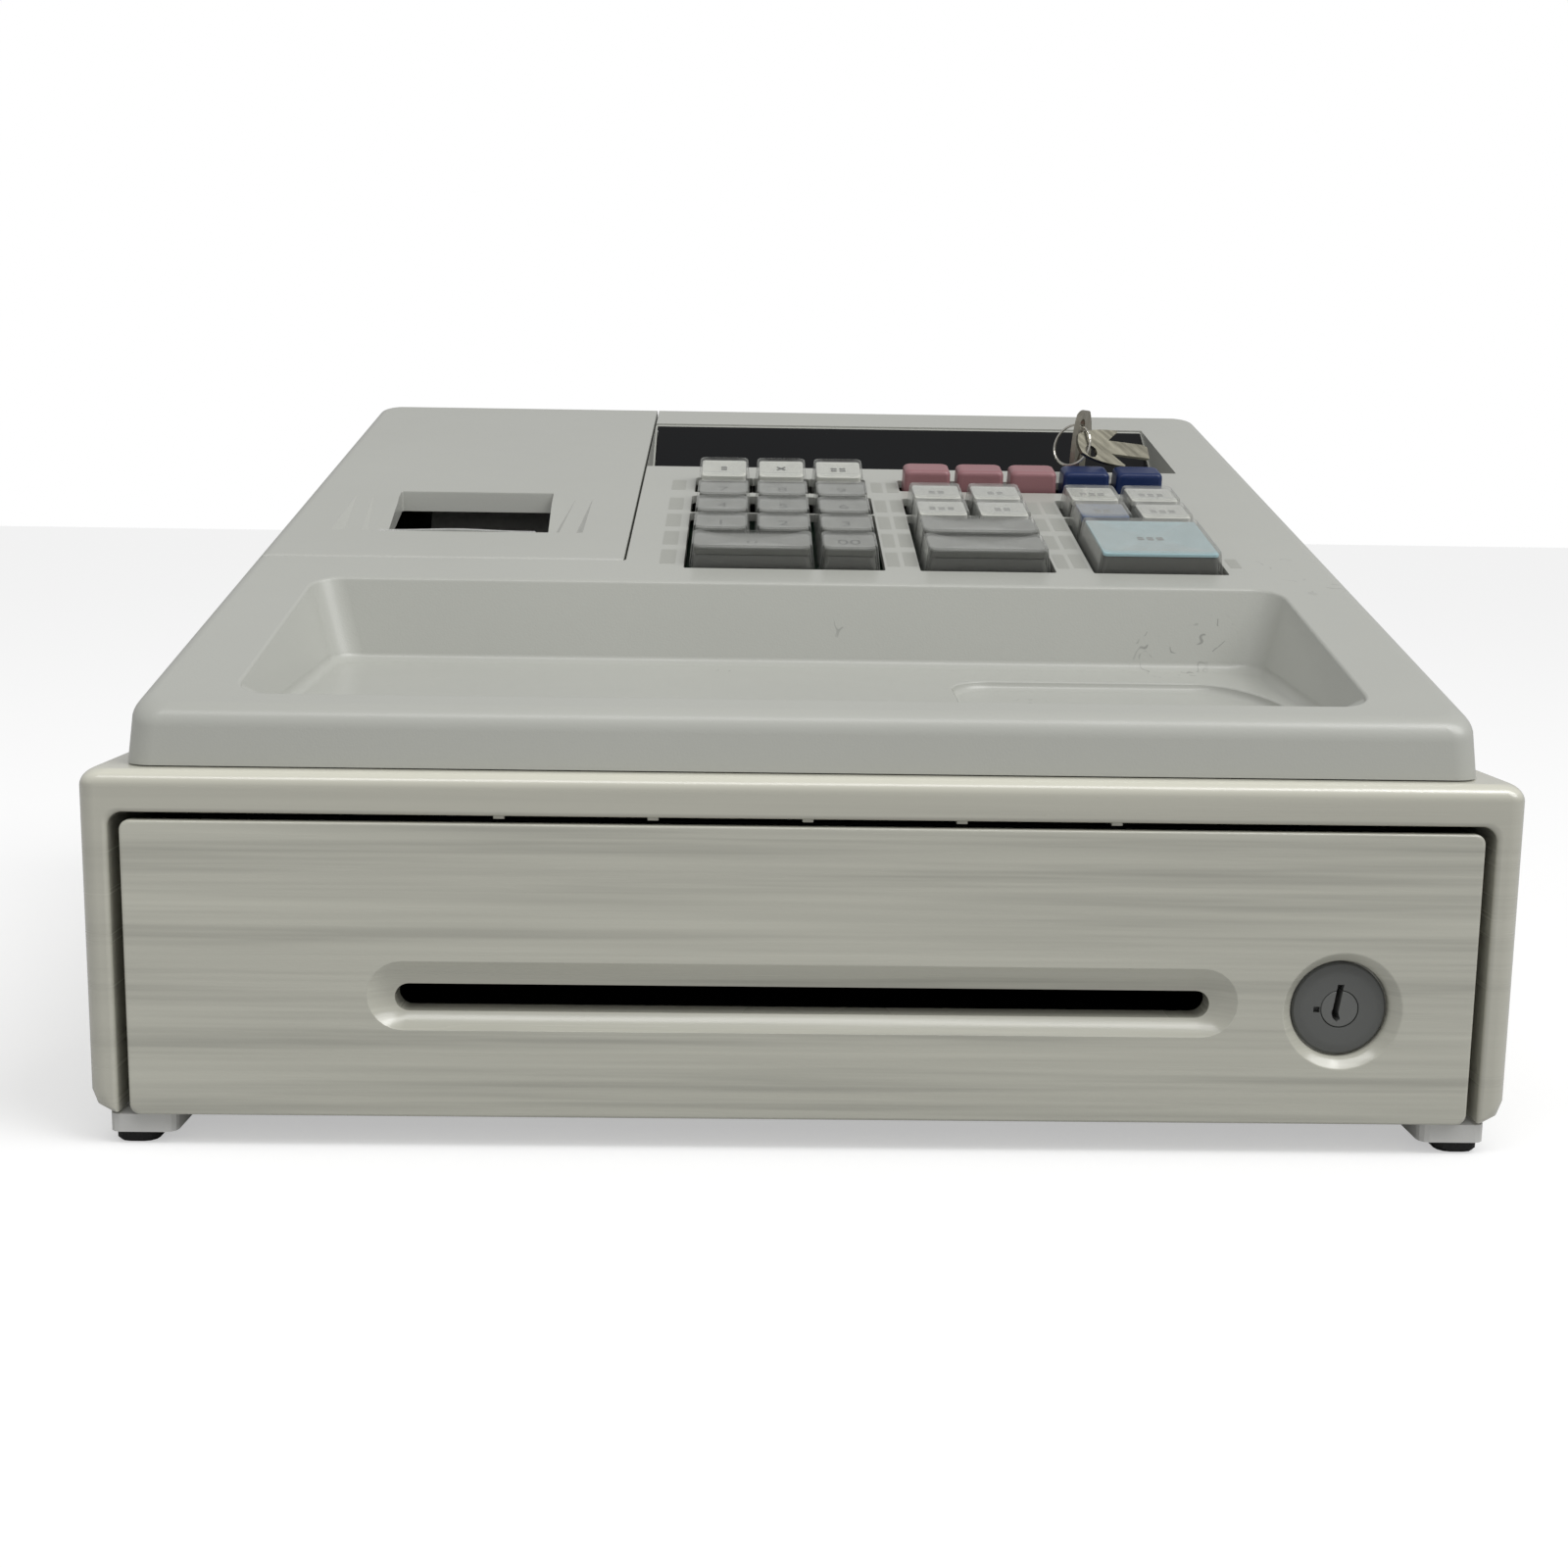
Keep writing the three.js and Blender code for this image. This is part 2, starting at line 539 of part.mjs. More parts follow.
function lockPlug() {
  const end = LOCK_BARREL_END + 5;
  const profile = [[0, 0.9], [LOCK_PLUG_R - 0.3, 0.9], [LOCK_PLUG_R, 1.2], [LOCK_PLUG_R, end], [0, end]];
  const plug = turnedY(profile, LOCK_X, LOCK_Z, 24);
  const keyway = box(around(LOCK_X, 0.8), [-1, 12], around(LOCK_Z, 3.4));
  const cam = block(around(LOCK_X, 3), [LOCK_Z - 13, LOCK_Z + 3], [0, 2], 1.4).rotateX(Math.PI / 2);
  return join(cut(plug, keyway), cam.translate(0, end - 0.5, 0));
}
piece('lock_plug', lockPlug(), 'nickel');

// Drawer release solenoid on the base behind the drawer, with its plunger tip.
function releaseSolenoid() {
  const top = 30;
  const yoke = block([-17, 17], [BODY_REAR + 2.2, CAB_REAR - CAB_WALL - 0.8], [BASE_Z[1] + 0.4, top], 1.2);
  const plunger = turnedZ([[0, top - 1], [3, top - 1], [3, top + 7], [2, top + 8], [0, top + 8]],
    0, BODY_REAR + 8, 16);
  return join(yoke, plunger);
}
piece('release_solenoid', releaseSolenoid(), 'steel');

// ---------------------------------------------------------------- upper housing
// The housing's closed outer form, shrunk by `by` all round for the inside face.
function housingForm(by) {
  const flatTop = (y) => deckHeight(y) - by / Math.cos(SLOPE);
  const base = HOUSING_BASE - (by > 0 ? 2 : 0);
  const xs = [-HOUSING_EDGE_HALF + by, HOUSING_EDGE_HALF - by];
  const ys = [HOUSING_FRONT + 0.4 + by, DECK_REAR - by];
  const corner = Math.max(HOUSING_CORNER - by, 2);
  const edge = EDGE - (by > 0 ? 1.5 : 0);
  const foot = inset([-HOUSING_HALF, HOUSING_HALF], by);
  const rings = [ring(foot, inset([HOUSING_FRONT, HOUSING_REAR], by), corner, base, 4)];
  for (const degrees of [0, 30, 60, 90]) {
    const angle = THREE.MathUtils.degToRad(degrees);
    const inward = edge * (1 - Math.cos(angle));
    const drop = (edge * (1 - Math.sin(angle))) / Math.cos(SLOPE);
    rings.push(ring(inset(xs, inward), inset(ys, inward), corner, (x, y) => flatTop(y) - drop, 4));
  }
  return loft(rings);
}

function trayFloor(y) {
  const t = (y - TRAY_FLOOR_Y[0]) / (TRAY_FLOOR_Y[1] - TRAY_FLOOR_Y[0]);
  return THREE.MathUtils.lerp(TRAY_FLOOR_Z[0], TRAY_FLOOR_Z[1], t);
}

// The coin tray's bowl: rim on the deck, floor rising to the rear; `by` grows it for the wall's far side.
function trayForm(by) {
  const rimY = TRAY_S.map(deckY);
  const lerp = THREE.MathUtils.lerp;
  const floor = (y) => trayFloor(y) - by;
  const rim = (t, lift) => ring(
    [-1, 1].map((side) => side * (lerp(TRAY_FLOOR_HALF, TRAY_HALF, t) + by)),
    [lerp(TRAY_FLOOR_Y[0], rimY[0], t) - by, lerp(TRAY_FLOOR_Y[1], rimY[1], t) + by],
    TRAY_CORNER + by, (x, y) => deckHeight(y) + lift, 4);
  const low = [0, 35, 90].map((degrees) => {
    const angle = THREE.MathUtils.degToRad(degrees);
    const shrink = TRAY_FILLET * (1 - Math.sin(angle));
    const rise = TRAY_FILLET * (1 - Math.cos(angle));
    const xs = inset([-TRAY_FLOOR_HALF - by, TRAY_FLOOR_HALF + by], shrink);
    const ys = [TRAY_FLOOR_Y[0] - by + Math.min(shrink, 2), TRAY_FLOOR_Y[1] + by - shrink];
    const height = (x, y) => Math.min(floor(y) + rise, deckHeight(y) - 1);
    return ring(xs, ys, TRAY_CORNER + by, height, 4);
  });
  return loft([...low, rim(1, 0), rim(1.03, 3)]);
}

// Pen rest: a shallow rounded pocket in the tray's floor.
function penPocket(by) {
  const rim = by > 0 ? -0.5 : 1;
  return loft([
    ring(inset(PEN_X, 2 - by), inset(PEN_Y, 2 - by), 10, (x, y) => trayFloor(y) - PEN_DEEP - by, 5),
    ring(inset(PEN_X, -by), inset(PEN_Y, -by), 12, (x, y) => trayFloor(y) + rim, 5)]);
}

// The display recess in deck space: a wedge under the deck whose rear face carries the window.
const windowTop = [DISPLAY_S[1] - 0.4, -0.2];
const windowFoot = [
  windowTop[0] - WINDOW_RUN * Math.cos(WINDOW_LEAN - SLOPE),
  windowTop[1] - WINDOW_RUN * Math.sin(WINDOW_LEAN - SLOPE)];

function displayVoid(by) {
  const [front, rear] = inset(DISPLAY_S, -by);
  const low = windowFoot[1] - by;
  return deckSolid(sweepX([[front, -1.2], [front, 6], [rear, 6], [rear, -0.6], [windowFoot[0] + by, low],
    [windowFoot[0] - 2, low]], inset(DISPLAY_X, -by)));
}

// A slab along the recess's rear face, between two depths under it; `grow` widens it all round.
function windowSlab([near, far], grow) {
  const lean = WINDOW_LEAN - SLOPE;
  const along = [-Math.cos(lean), -Math.sin(lean)];
  const under = [Math.sin(lean), -Math.cos(lean)];
  const corner = (run, deep) => [windowTop[0] + along[0] * run + under[0] * deep,
    windowTop[1] + along[1] * run + under[1] * deep];
  const [start, end] = inset([0, WINDOW_RUN], WINDOW_INSET - grow);
  return sweepX([corner(start, near), corner(start, far), corner(end, far), corner(end, near)],
    inset(DISPLAY_X, WINDOW_INSET - grow));
}

// Where the printer cover parts from the housing; `grow` is the seam.
const coverRegion = (grow) => deckSolid(box(
  [-220, COVER_RIGHT + grow], [COVER_FRONT - grow, 420], [-COVER_SKIRT - grow, 60]));

const rowFront = (row) => ROW_FRONT + (row - 1) * KEY_PITCH_S;
const groupRight = (g) => GROUP_LEFT[g] + (GROUP_COLUMNS[g] - 1) * KEY_PITCH_X + KEY_WIDE;

// Cut-outs in the deck for the keys and the mode lock.
function deckHoles() {
  const through = [-SKIN * 2.5, 4];
  const holes = [];
  for (let g = 0; g < 3; g += 1) {
    holes.push(box([GROUP_LEFT[g] - MARGIN, groupRight(g) + MARGIN],
      [ROW_FRONT - MARGIN, rowFront(4) + KEY_DEEP + MARGIN], through));
  }
  for (let column = 0; column < 3; column += 1) {
    const x = GROUP_LEFT[0] + column * KEY_PITCH_X;
    holes.push(box([x - MARGIN / 2, x + KEY_WIDE - 0.2 + MARGIN / 2],
      [TOP_ROW_FRONT - MARGIN / 2, TOP_ROW_FRONT + TOP_ROW_DEEP + MARGIN], through));
  }
  holes.push(box([GROUP_LEFT[1] - MARGIN, GROUP_LEFT[1] + 4 * SOLID_PITCH + SOLID_WIDE + MARGIN],
    [SOLID_S[0] - MARGIN, SOLID_S[1] + MARGIN], through));
  holes.push(rodZ(MODE_BARREL_R + GAP, [-8, 4], MODE_X, MODE_S, 24));
  return holes.map(deckSolid);
}

const shell = cut(housingForm(0), housingForm(SKIN));

function upperHousing() {
  const bowls = common(join(trayForm(SKIN), displayVoid(SKIN)), housingForm(0.1));
  const penWall = penPocket(1.6);
  const body = join(shell, bowls, penWall);
  const windowHole = deckSolid(windowSlab([-8, WINDOW_SET + WINDOW_THICK + 4], GAP));
  return cut(body, trayForm(0), penPocket(0), displayVoid(0), windowHole, coverRegion(SEAM),
    ...deckHoles());
}

function printerCover() {
  const region = coverRegion(-SEAM);
  const skin = common(shell, region);
  const pad = deckSolid(box([EXIT_X[0] - RAMP_OUT - 3, EXIT_X[1] + RAMP_OUT + 3],
    [EXIT_S[0] - 4, EXIT_S[1] + 3], [-RAMP_DEEP - 3.2, -1]));
  const exit = deckSolid(box(EXIT_X, EXIT_S, [-20, 5]));
  const rampS = [EXIT_S[0] + 0.2, EXIT_S[1] - 7];
  const ramps = [[EXIT_X[0], -1], [EXIT_X[1], 1]].map(([edge, side]) => deckSolid(sweepY(
    [[edge - side, -RAMP_DEEP], [edge, -RAMP_DEEP], [edge + side * RAMP_OUT, 0],
      [edge + side * (RAMP_OUT + 5), 2], [edge - side, 2]], rampS)));
  return cut(join(skin, pad), exit, ...ramps);
}

piece('upper_housing', upperHousing(), 'housing');
piece('printer_cover', printerCover(), 'housing');

// Clear bar with a bowed cutting edge across the front of the paper exit.
function tearBar() {
  const half = (EXIT_X[1] - EXIT_X[0]) / 2 - 0.6;
  const points = [[-half, 0], [half, 0]];
  const steps = 8;
  for (let i = 0; i <= steps; i += 1) {
    const t = 1 - (2 * i) / steps;
    points.push([half * t, 1.1 + 1.3 * Math.cos((t * Math.PI) / 2)]);
  }
  const shape = new THREE.Shape(points.map(([x, y]) => new THREE.Vector2(x, y)));
  const bar = new THREE.ExtrudeGeometry(shape, { depth: 5.6, bevelEnabled: false });
  return bar.translate(ROLL_X, EXIT_S[0] + GAP, -6);
}
piece('tear_bar', outward(tearBar()), 'smoke', deck);

piece('display_window', outward(windowSlab([WINDOW_SET, WINDOW_SET + WINDOW_THICK], 0)), 'smoke', deck);

// The display module hangs in line with the window, a little behind it.
function displayBoard() {
  const lean = WINDOW_LEAN - SLOPE;
  const behind = 12;
  const panel = block([-86, 86], [-20, 20], [-1.6, 0], 3);
  const glass = block([-77, 77], [-11, 11], [-0.1, 3], 1);
  const down = WINDOW_RUN / 2;
  const s = windowTop[0] - down * Math.cos(lean) + behind * Math.sin(lean);
  const h = windowTop[1] - down * Math.sin(lean) - behind * Math.cos(lean);
  return join(panel, glass).rotateX(lean).translate((DISPLAY_X[0] + DISPLAY_X[1]) / 2, s, h);
}
piece('display_board', displayBoard(), 'board', deck);

// Main board with the key contacts, parallel to the deck under the keys, cut clear of the mode lock.
function mainBoard() {
  const board = block([-44, 138], [116, 226], [BOARD_H, BOARD_H + 1.6], 3);
  const contacts = block([-34, 126], [122, 225], [BOARD_H + 1.4, BOARD_H + 3], 2);
  return join(board, contacts);
}
piece('main_board', mainBoard(), 'board', deck);

// ---------------------------------------------------------------- keys
const KEY_STEPS = 2;

// A key with drafted sides and rounded upper edges; front and rear are its heights over the deck.
function keyBody(width, deep, front, rear, draft = 0.85) {
  const tilt = (lower) => (x, y) => front - lower + ((rear - front) * y) / deep;
  const level = (by, lift, radius) => ring([by, width - by], [by, deep - by], radius, lift, KEY_STEPS);
  return loft([
    level(0.2, -KEY_BELOW, 1),
    level(0.2, -0.5, 1),
    level(draft, tilt(1.3), 1.4),
    level(draft + 0.45, tilt(0.35), 1.6),
    level(draft + 1.5, tilt(0), 1.6)]);
}

// Each row: name, first column, columns wide, rows tall, finish, row number counted from the front.
const KEY_ROWS = [
  [0, ['key_0', 0, 2, 1, 'keyGrey', 1], ['key_00', 2, 1, 1, 'keyGrey', 1],
    ['key_1', 0, 1, 1, 'keyGrey', 2], ['key_2', 1, 1, 1, 'keyGrey', 2], ['key_3', 2, 1, 1, 'keyGrey', 2],
    ['key_4', 0, 1, 1, 'keyGrey', 3], ['key_5', 1, 1, 1, 'keyGrey', 3], ['key_6', 2, 1, 1, 'keyGrey', 3],
    ['key_7', 0, 1, 1, 'keyGrey', 4], ['key_8', 1, 1, 1, 'keyGrey', 4], ['key_9', 2, 1, 1, 'keyGrey', 4]],
  [1, ['key_grey_wide_1', 0, 2, 1, 'keyGrey', 1], ['key_grey_wide_2', 0, 2, 1, 'keyGrey', 2],
    ['key_white_1', 0, 1, 1, 'keyWhite', 3], ['key_white_2', 1, 1, 1, 'keyWhite', 3],
    ['key_white_3', 0, 1, 1, 'keyWhite', 4], ['key_white_4', 1, 1, 1, 'keyWhite', 4]],
  [2, ['key_total', 0, 2, 2, 'keyCyan', 1],
    ['key_lilac', 0, 1, 1, 'keyLilac', 3], ['key_white_5', 1, 1, 1, 'keyWhite', 3],
    ['key_white_6', 0, 1, 1, 'keyWhite', 4], ['key_white_7', 1, 1, 1, 'keyWhite', 4]],
];

function placeKeys() {
  for (const [group, ...keys] of KEY_ROWS) {
    for (const [name, column, wide, tall, finish, row] of keys) {
      const width = (wide - 1) * KEY_PITCH_X + KEY_WIDE;
      const deep = (tall - 1) * KEY_PITCH_S + KEY_DEEP;
      const mesh = piece(name, keyBody(width, deep, KEY_TALL, KEY_TALL), finish, deck);
      mesh.position.set(GROUP_LEFT[group] + column * KEY_PITCH_X, rowFront(row), 0);
    }
  }
  ['key_feed', 'key_times', 'key_clear'].forEach((name, column) => {
    const mesh = piece(name, keyBody(KEY_WIDE - 0.2, TOP_ROW_DEEP, 6, 8), 'keyWhite', deck);
    mesh.position.set(GROUP_LEFT[0] + column * KEY_PITCH_X, TOP_ROW_FRONT, 0);
  });
  ['key_pink_1', 'key_pink_2', 'key_pink_3', 'key_blue_1', 'key_blue_2'].forEach((name, column) => {
    const finish = name.includes('pink') ? 'keyPink' : 'keyBlue';
    const deep = SOLID_S[1] - SOLID_S[0];
    const mesh = piece(name, keyBody(SOLID_WIDE, deep, SOLID_TALL, SOLID_TALL, 0.3), finish, deck);
    mesh.position.set(GROUP_LEFT[1] + column * SOLID_PITCH, SOLID_S[0], 0);
  });
}
placeKeys();

// ---------------------------------------------------------------- mode lock and its keys
const rotorBore = MODE_ROTOR_R + GAP;
const modeBezel = [[rotorBore, -9], [MODE_BARREL_R, -9], [MODE_BARREL_R, GAP], [MODE_FLANGE_R, GAP],
  [MODE_FLANGE_R, 1], [MODE_FLANGE_R - 0.8, 1.7], [rotorBore, 1.7], [rotorBore, -9]];
piece('mode_lock', turnedZ(modeBezel, MODE_X, MODE_S, 24), 'steel', deck);

// The lock's rotor, slotted for the key's blade.
function modeRotor() {
  const rotor = rodZ(MODE_ROTOR_R, [-8.5, 1.4], 0, 0, 24);
  return cut(rotor, box([-3.3, 3.3], [-1.2, 1.2], [-7, 3]));
}

// Stamped key, drawn flat: x across, y up the key, blade down, bow up with swept shoulders and a ring hole.
const BOW_TOP = 21.4;
const BOW_HALF = 7;
const BOW_NOTCH = 8.6;
const BOW_TIP = 4;
const HOLE_X = -2.6;
const HOLE_Y = 16.8;
const HOLE_R = 2.35;

function stampedKey(bladeEnd, thickness) {
  const outline = new THREE.Shape();
  outline.moveTo(-2.6, bladeEnd);
  outline.lineTo(1.9, bladeEnd);
  const teeth = Math.max(0, Math.floor((-bladeEnd - 4) / 4));
  for (let i = 0; i < teeth; i += 1) {
    outline.lineTo(2.6, bladeEnd + 1 + i * 4);
    outline.lineTo(2.6, bladeEnd + 2.4 + i * 4);
    outline.lineTo(1.8, bladeEnd + 3.6 + i * 4);
  }
  outline.lineTo(2.6, bladeEnd + 2 + teeth * 4);
  outline.lineTo(2.6, BOW_NOTCH);
  outline.quadraticCurveTo(4.4, BOW_NOTCH - 2, BOW_HALF - 0.5, BOW_TIP);
  outline.quadraticCurveTo(BOW_HALF + 0.1, BOW_TIP - 0.2, BOW_HALF, BOW_TIP + 1);
  outline.quadraticCurveTo(BOW_HALF - 0.2, 15.5, 3.6, BOW_TOP - 0.9);
  outline.quadraticCurveTo(0, BOW_TOP + 0.9, -3.6, BOW_TOP - 0.9);
  outline.quadraticCurveTo(-BOW_HALF + 0.2, 15.5, -BOW_HALF, BOW_TIP + 1);
  outline.quadraticCurveTo(-BOW_HALF - 0.1, BOW_TIP - 0.2, -BOW_HALF + 0.5, BOW_TIP);
  outline.quadraticCurveTo(-4.4, BOW_NOTCH - 2, -2.6, BOW_NOTCH);
  const hole = new THREE.Path();
  hole.absarc(HOLE_X, HOLE_Y, HOLE_R, 0, Math.PI * 2);
  outline.holes.push(hole);
  const solid = new THREE.ExtrudeGeometry(outline,
    { depth: thickness, bevelEnabled: false, curveSegments: 6 });
  return outward(solid.translate(0, 0, -thickness / 2));
}

const modeGroup = new THREE.Group();
modeGroup.position.set(MODE_X, MODE_S, 0);
modeGroup.rotation.z = MODE_TURN;
deck.add(modeGroup);
piece('mode_rotor', modeRotor(), 'steel', modeGroup);
const modeKey = piece('mode_key', stampedKey(-5.6, KEY_SHEET), 'nickel', modeGroup);
modeKey.rotation.x = Math.PI / 2;
modeKey.position.z = KEY_PULL;

// The split ring passes the mode key's hole and the bow's edge, nearly square to the bow.
const ringTop = new THREE.Vector3(HOLE_X, 0, HOLE_Y + KEY_PULL);
const ringChord = new THREE.Vector3(RING_CROSS[0], 0, RING_CROSS[1] + KEY_PULL).sub(ringTop);
const ringDown = ringChord.clone().normalize();
const ringSide = new THREE.Vector3(0, 1, 0).applyAxisAngle(ringDown, -RING_TWIST);
const ringOffset = Math.sqrt(RING_R ** 2 - ringChord.lengthSq() / 4);
const ringMiddle = ringTop.clone().addScaledVector(ringChord, 0.5).addScaledVector(ringSide, ringOffset);

function keyRing() {
  const circle = new THREE.TorusGeometry(RING_R, RING_WIRE, 8, 32);
  const axis = new THREE.Vector3().crossVectors(ringDown, ringSide);
  return outward(circle.applyMatrix4(new THREE.Matrix4().makeBasis(ringDown, ringSide, axis)));
}
piece('key_ring', keyRing(), 'nickel', modeGroup).position.copy(ringMiddle);

// The spare key hangs from the ring's low right side and stands on edge behind the blue keys.
function placeSpare() {
  const turn = THREE.MathUtils.degToRad(SPARE_AT);
  const hole = ringMiddle.clone().addScaledVector(ringDown, RING_R * Math.cos(turn));
  hole.addScaledVector(ringSide, RING_R * Math.sin(turn));
  hole.applyAxisAngle(new THREE.Vector3(0, 0, 1), MODE_TURN).add(modeGroup.position);
  const along = new THREE.Vector3(...SPARE_ALONG).normalize();
  const face = new THREE.Vector3(...SPARE_FACE);
  face.addScaledVector(along, -face.dot(along)).normalize();
  const across = new THREE.Vector3().crossVectors(face, along);
  const axes = new THREE.Matrix4().makeBasis(across, along.clone().negate(), face);
  const geometry = stampedKey(-7, SPARE_SHEET).translate(-HOLE_X, -HOLE_Y, 0).applyMatrix4(axes);
  const spare = piece('spare_key', geometry, 'nickel', deck);
  spare.position.copy(hole).add(new THREE.Vector3(...SPARE_SHIFT));
}
placeSpare();

// ---------------------------------------------------------------- receipt printer
function paperRoll() {
  const profile = [[ROLL_CORE_R, -ROLL_HALF], [ROLL_R, -ROLL_HALF], [ROLL_R, ROLL_HALF],
    [ROLL_CORE_R, ROLL_HALF], [ROLL_CORE_R, -ROLL_HALF]];
  return turnedX(profile, 0, 0, 40).translate(ROLL_X, ROLL_Y, ROLL_Z);
}
piece('paper_roll', paperRoll(), 'paper');

// The printer's frame: a trough with two cheeks that carry the platen and a cradle for the roll.
function printerFrame() {
  const across = around(ROLL_X, PRINTER_HALF);
  const ys = [148, 286];
  const bottom = 92.5;
  const walls = [-1, 1].map((side) => sided([PRINTER_HALF - 3, PRINTER_HALF], side).map((x) => ROLL_X + x));
  const cheekOutline = [[ys[0], bottom], [ys[1], bottom], [ys[1], 118], [232, 118], [214, 124], [196, 138],
    [150, 130]];
  const postTop = ROLL_Z + 6;
  const postOutline = [[ROLL_Y - 9, 110], [ROLL_Y + 9, 110], [ROLL_Y + 6, postTop], [ROLL_Y - 6, postTop]];
  const cheeks = walls.map((xs) => sweepX(cheekOutline, xs));
  const posts = walls.map((xs) => sweepX(postOutline, xs));
  const floor = box(across, ys, [bottom, bottom + 3]);
  const nose = box(across, [ys[0], ys[0] + 4], [bottom, 129]);
  const guide = sweepX([[184, 95], [188, 95], [192, 135], [188, 135]], across);
  const spindle = rodX(ROLL_CORE_R - 1.5, inset(across, 1), ROLL_Y, ROLL_Z, 20);
  const bores = rodX(PLATEN_AXLE_R + 0.4, inset(across, -10), PLATEN_Y, PLATEN_Z, 20);
  return cut(join(floor, ...cheeks, nose, guide, spindle, ...posts), bores);
}
piece('printer_frame', printerFrame(), 'black');

// Rubber platen on a steel axle, with its drive gear outside the right cheek.
function platenRoller() {
  const roller = rodX(PLATEN_R, around(ROLL_X, 24), 0, 0, 24);
  const axle = rodX(PLATEN_AXLE_R, [ROLL_X - PRINTER_HALF - 1.5, ROLL_X + PRINTER_HALF + 5], 0, 0, 24);
  const teeth = 16;
  const outline = [];
  for (let i = 0; i < teeth; i += 1) {
    const at = (part, r) => {
      const angle = ((i + part) / teeth) * Math.PI * 2;
      outline.push([r * Math.cos(angle), r * Math.sin(angle)]);
    };
    at(0, GEAR_ROOT_R);
    at(0.3, GEAR_ROOT_R);
    at(0.45, GEAR_TIP_R);
    at(0.85, GEAR_TIP_R);
  }
  const gear = sweepX(outline, [ROLL_X + PRINTER_HALF + 0.6, ROLL_X + PRINTER_HALF + 4.5]);
  return join(roller, axle, gear).translate(0, PLATEN_Y, PLATEN_Z);
}
piece('platen_roller', platenRoller(), 'rubber');

const group = new THREE.Group();
group.add(model);
export default group;
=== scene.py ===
"""Looks of the small electronic cash register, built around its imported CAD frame."""
import math

import bmesh
import bpy
from mathutils import Matrix, Vector


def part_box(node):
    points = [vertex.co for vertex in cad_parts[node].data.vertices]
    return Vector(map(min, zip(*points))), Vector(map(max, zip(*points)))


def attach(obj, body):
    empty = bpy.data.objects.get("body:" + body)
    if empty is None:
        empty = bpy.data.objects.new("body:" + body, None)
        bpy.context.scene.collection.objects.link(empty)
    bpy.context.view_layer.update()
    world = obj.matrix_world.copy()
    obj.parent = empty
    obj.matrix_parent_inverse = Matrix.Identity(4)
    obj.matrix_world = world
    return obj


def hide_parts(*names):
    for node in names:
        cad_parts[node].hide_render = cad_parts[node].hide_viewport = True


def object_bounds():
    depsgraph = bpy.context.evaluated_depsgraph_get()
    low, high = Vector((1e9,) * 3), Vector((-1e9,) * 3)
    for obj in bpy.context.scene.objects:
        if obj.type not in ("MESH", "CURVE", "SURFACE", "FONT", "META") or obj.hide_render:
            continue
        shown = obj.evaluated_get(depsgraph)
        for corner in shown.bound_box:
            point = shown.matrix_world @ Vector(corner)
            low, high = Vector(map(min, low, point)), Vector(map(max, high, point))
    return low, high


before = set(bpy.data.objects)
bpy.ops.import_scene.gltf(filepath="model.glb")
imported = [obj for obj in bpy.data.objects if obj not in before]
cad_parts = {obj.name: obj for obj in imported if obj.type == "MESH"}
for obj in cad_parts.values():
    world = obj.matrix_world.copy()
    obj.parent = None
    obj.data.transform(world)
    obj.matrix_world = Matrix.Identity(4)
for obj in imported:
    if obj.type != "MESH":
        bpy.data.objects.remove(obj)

cad_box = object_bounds()

# -------- sizes
# Shapes are drawn in millimetres in the drawing space: x to the right, y from the drawer's
# front face to the rear, z up. draw_to_frame brings them into the shared frame, in metres.
MM = 0.001
FRONT_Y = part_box("cabinet_shell")[0].y
CEILING = cad_box[1][2] / MM
draw_to_frame = Matrix.Translation((0, FRONT_Y, 0)) @ Matrix.Scale(MM, 4)

SLOPE = math.radians(14.715)      # the keyboard deck: x, s along the slope, h above it
DECK_Z = 101.74
deck_to_draw = Matrix.Translation((0, 0, DECK_Z)) @ Matrix.Rotation(SLOPE, 4, "X")

CAB_HALF = 167.5
CAB_REAR = 352
CAB_TOP = 89.7
CAB_BOTTOM = 8.5
CAB_CORNER = 4.5
CAB_ROUND = 4                     # of the upper edges
CAB_FOOT = ((4, 0), (1.2, 1.6), (0, 5))  # how far in the side walls are, and at what rise
CAB_WALL = 3.2
CAB_FRONT = 14                    # depth of the frame round the drawer
FRAME_HALF = 160.5
FRAME_TOP = 79.9
FRAME_FOOT = -5
MOUTH_RIM = 1.2
GLAND = (-120, 52)                # the cord's bore: x, z
GLAND_RADIUS = 6.2
HARNESS = ((60, 90), (120, 150))  # the cable hole in the top
VENT_X = range(70, 140, 7)
VENT_Z = (24, 44)
STOP_X = (-71, -35.5, 0.3, 36, 72)  # small stops over the drawer

FRONT_HALF = 157.8
FRONT_Z = (8, 78.2)
FRONT_THICK = 10
FRONT_CORNER = 2.4
FRONT_ROUND = 0.7
SLOT = (96, 32.8, 39.4)           # half length, bottom, top
DISH = (101.5, 29.3, 45.2)
DISH_DEEP = 3.7
DISH_FLANK = ((-0.02, 1.12), (0.02, 1.05), (0.10, 1.0), (0.5, 0.66), (0.86, 0.25), (1.0, 0.0))
LOCK = (126.7, 35.6)              # x, z
LOCK_DISC = 11.2
LOCK_DISH = 14
LOCK_FACE = 2.6                   # depth of the disc below the drawer front
PLUG = 4.4
PLUG_GAP = 0.16

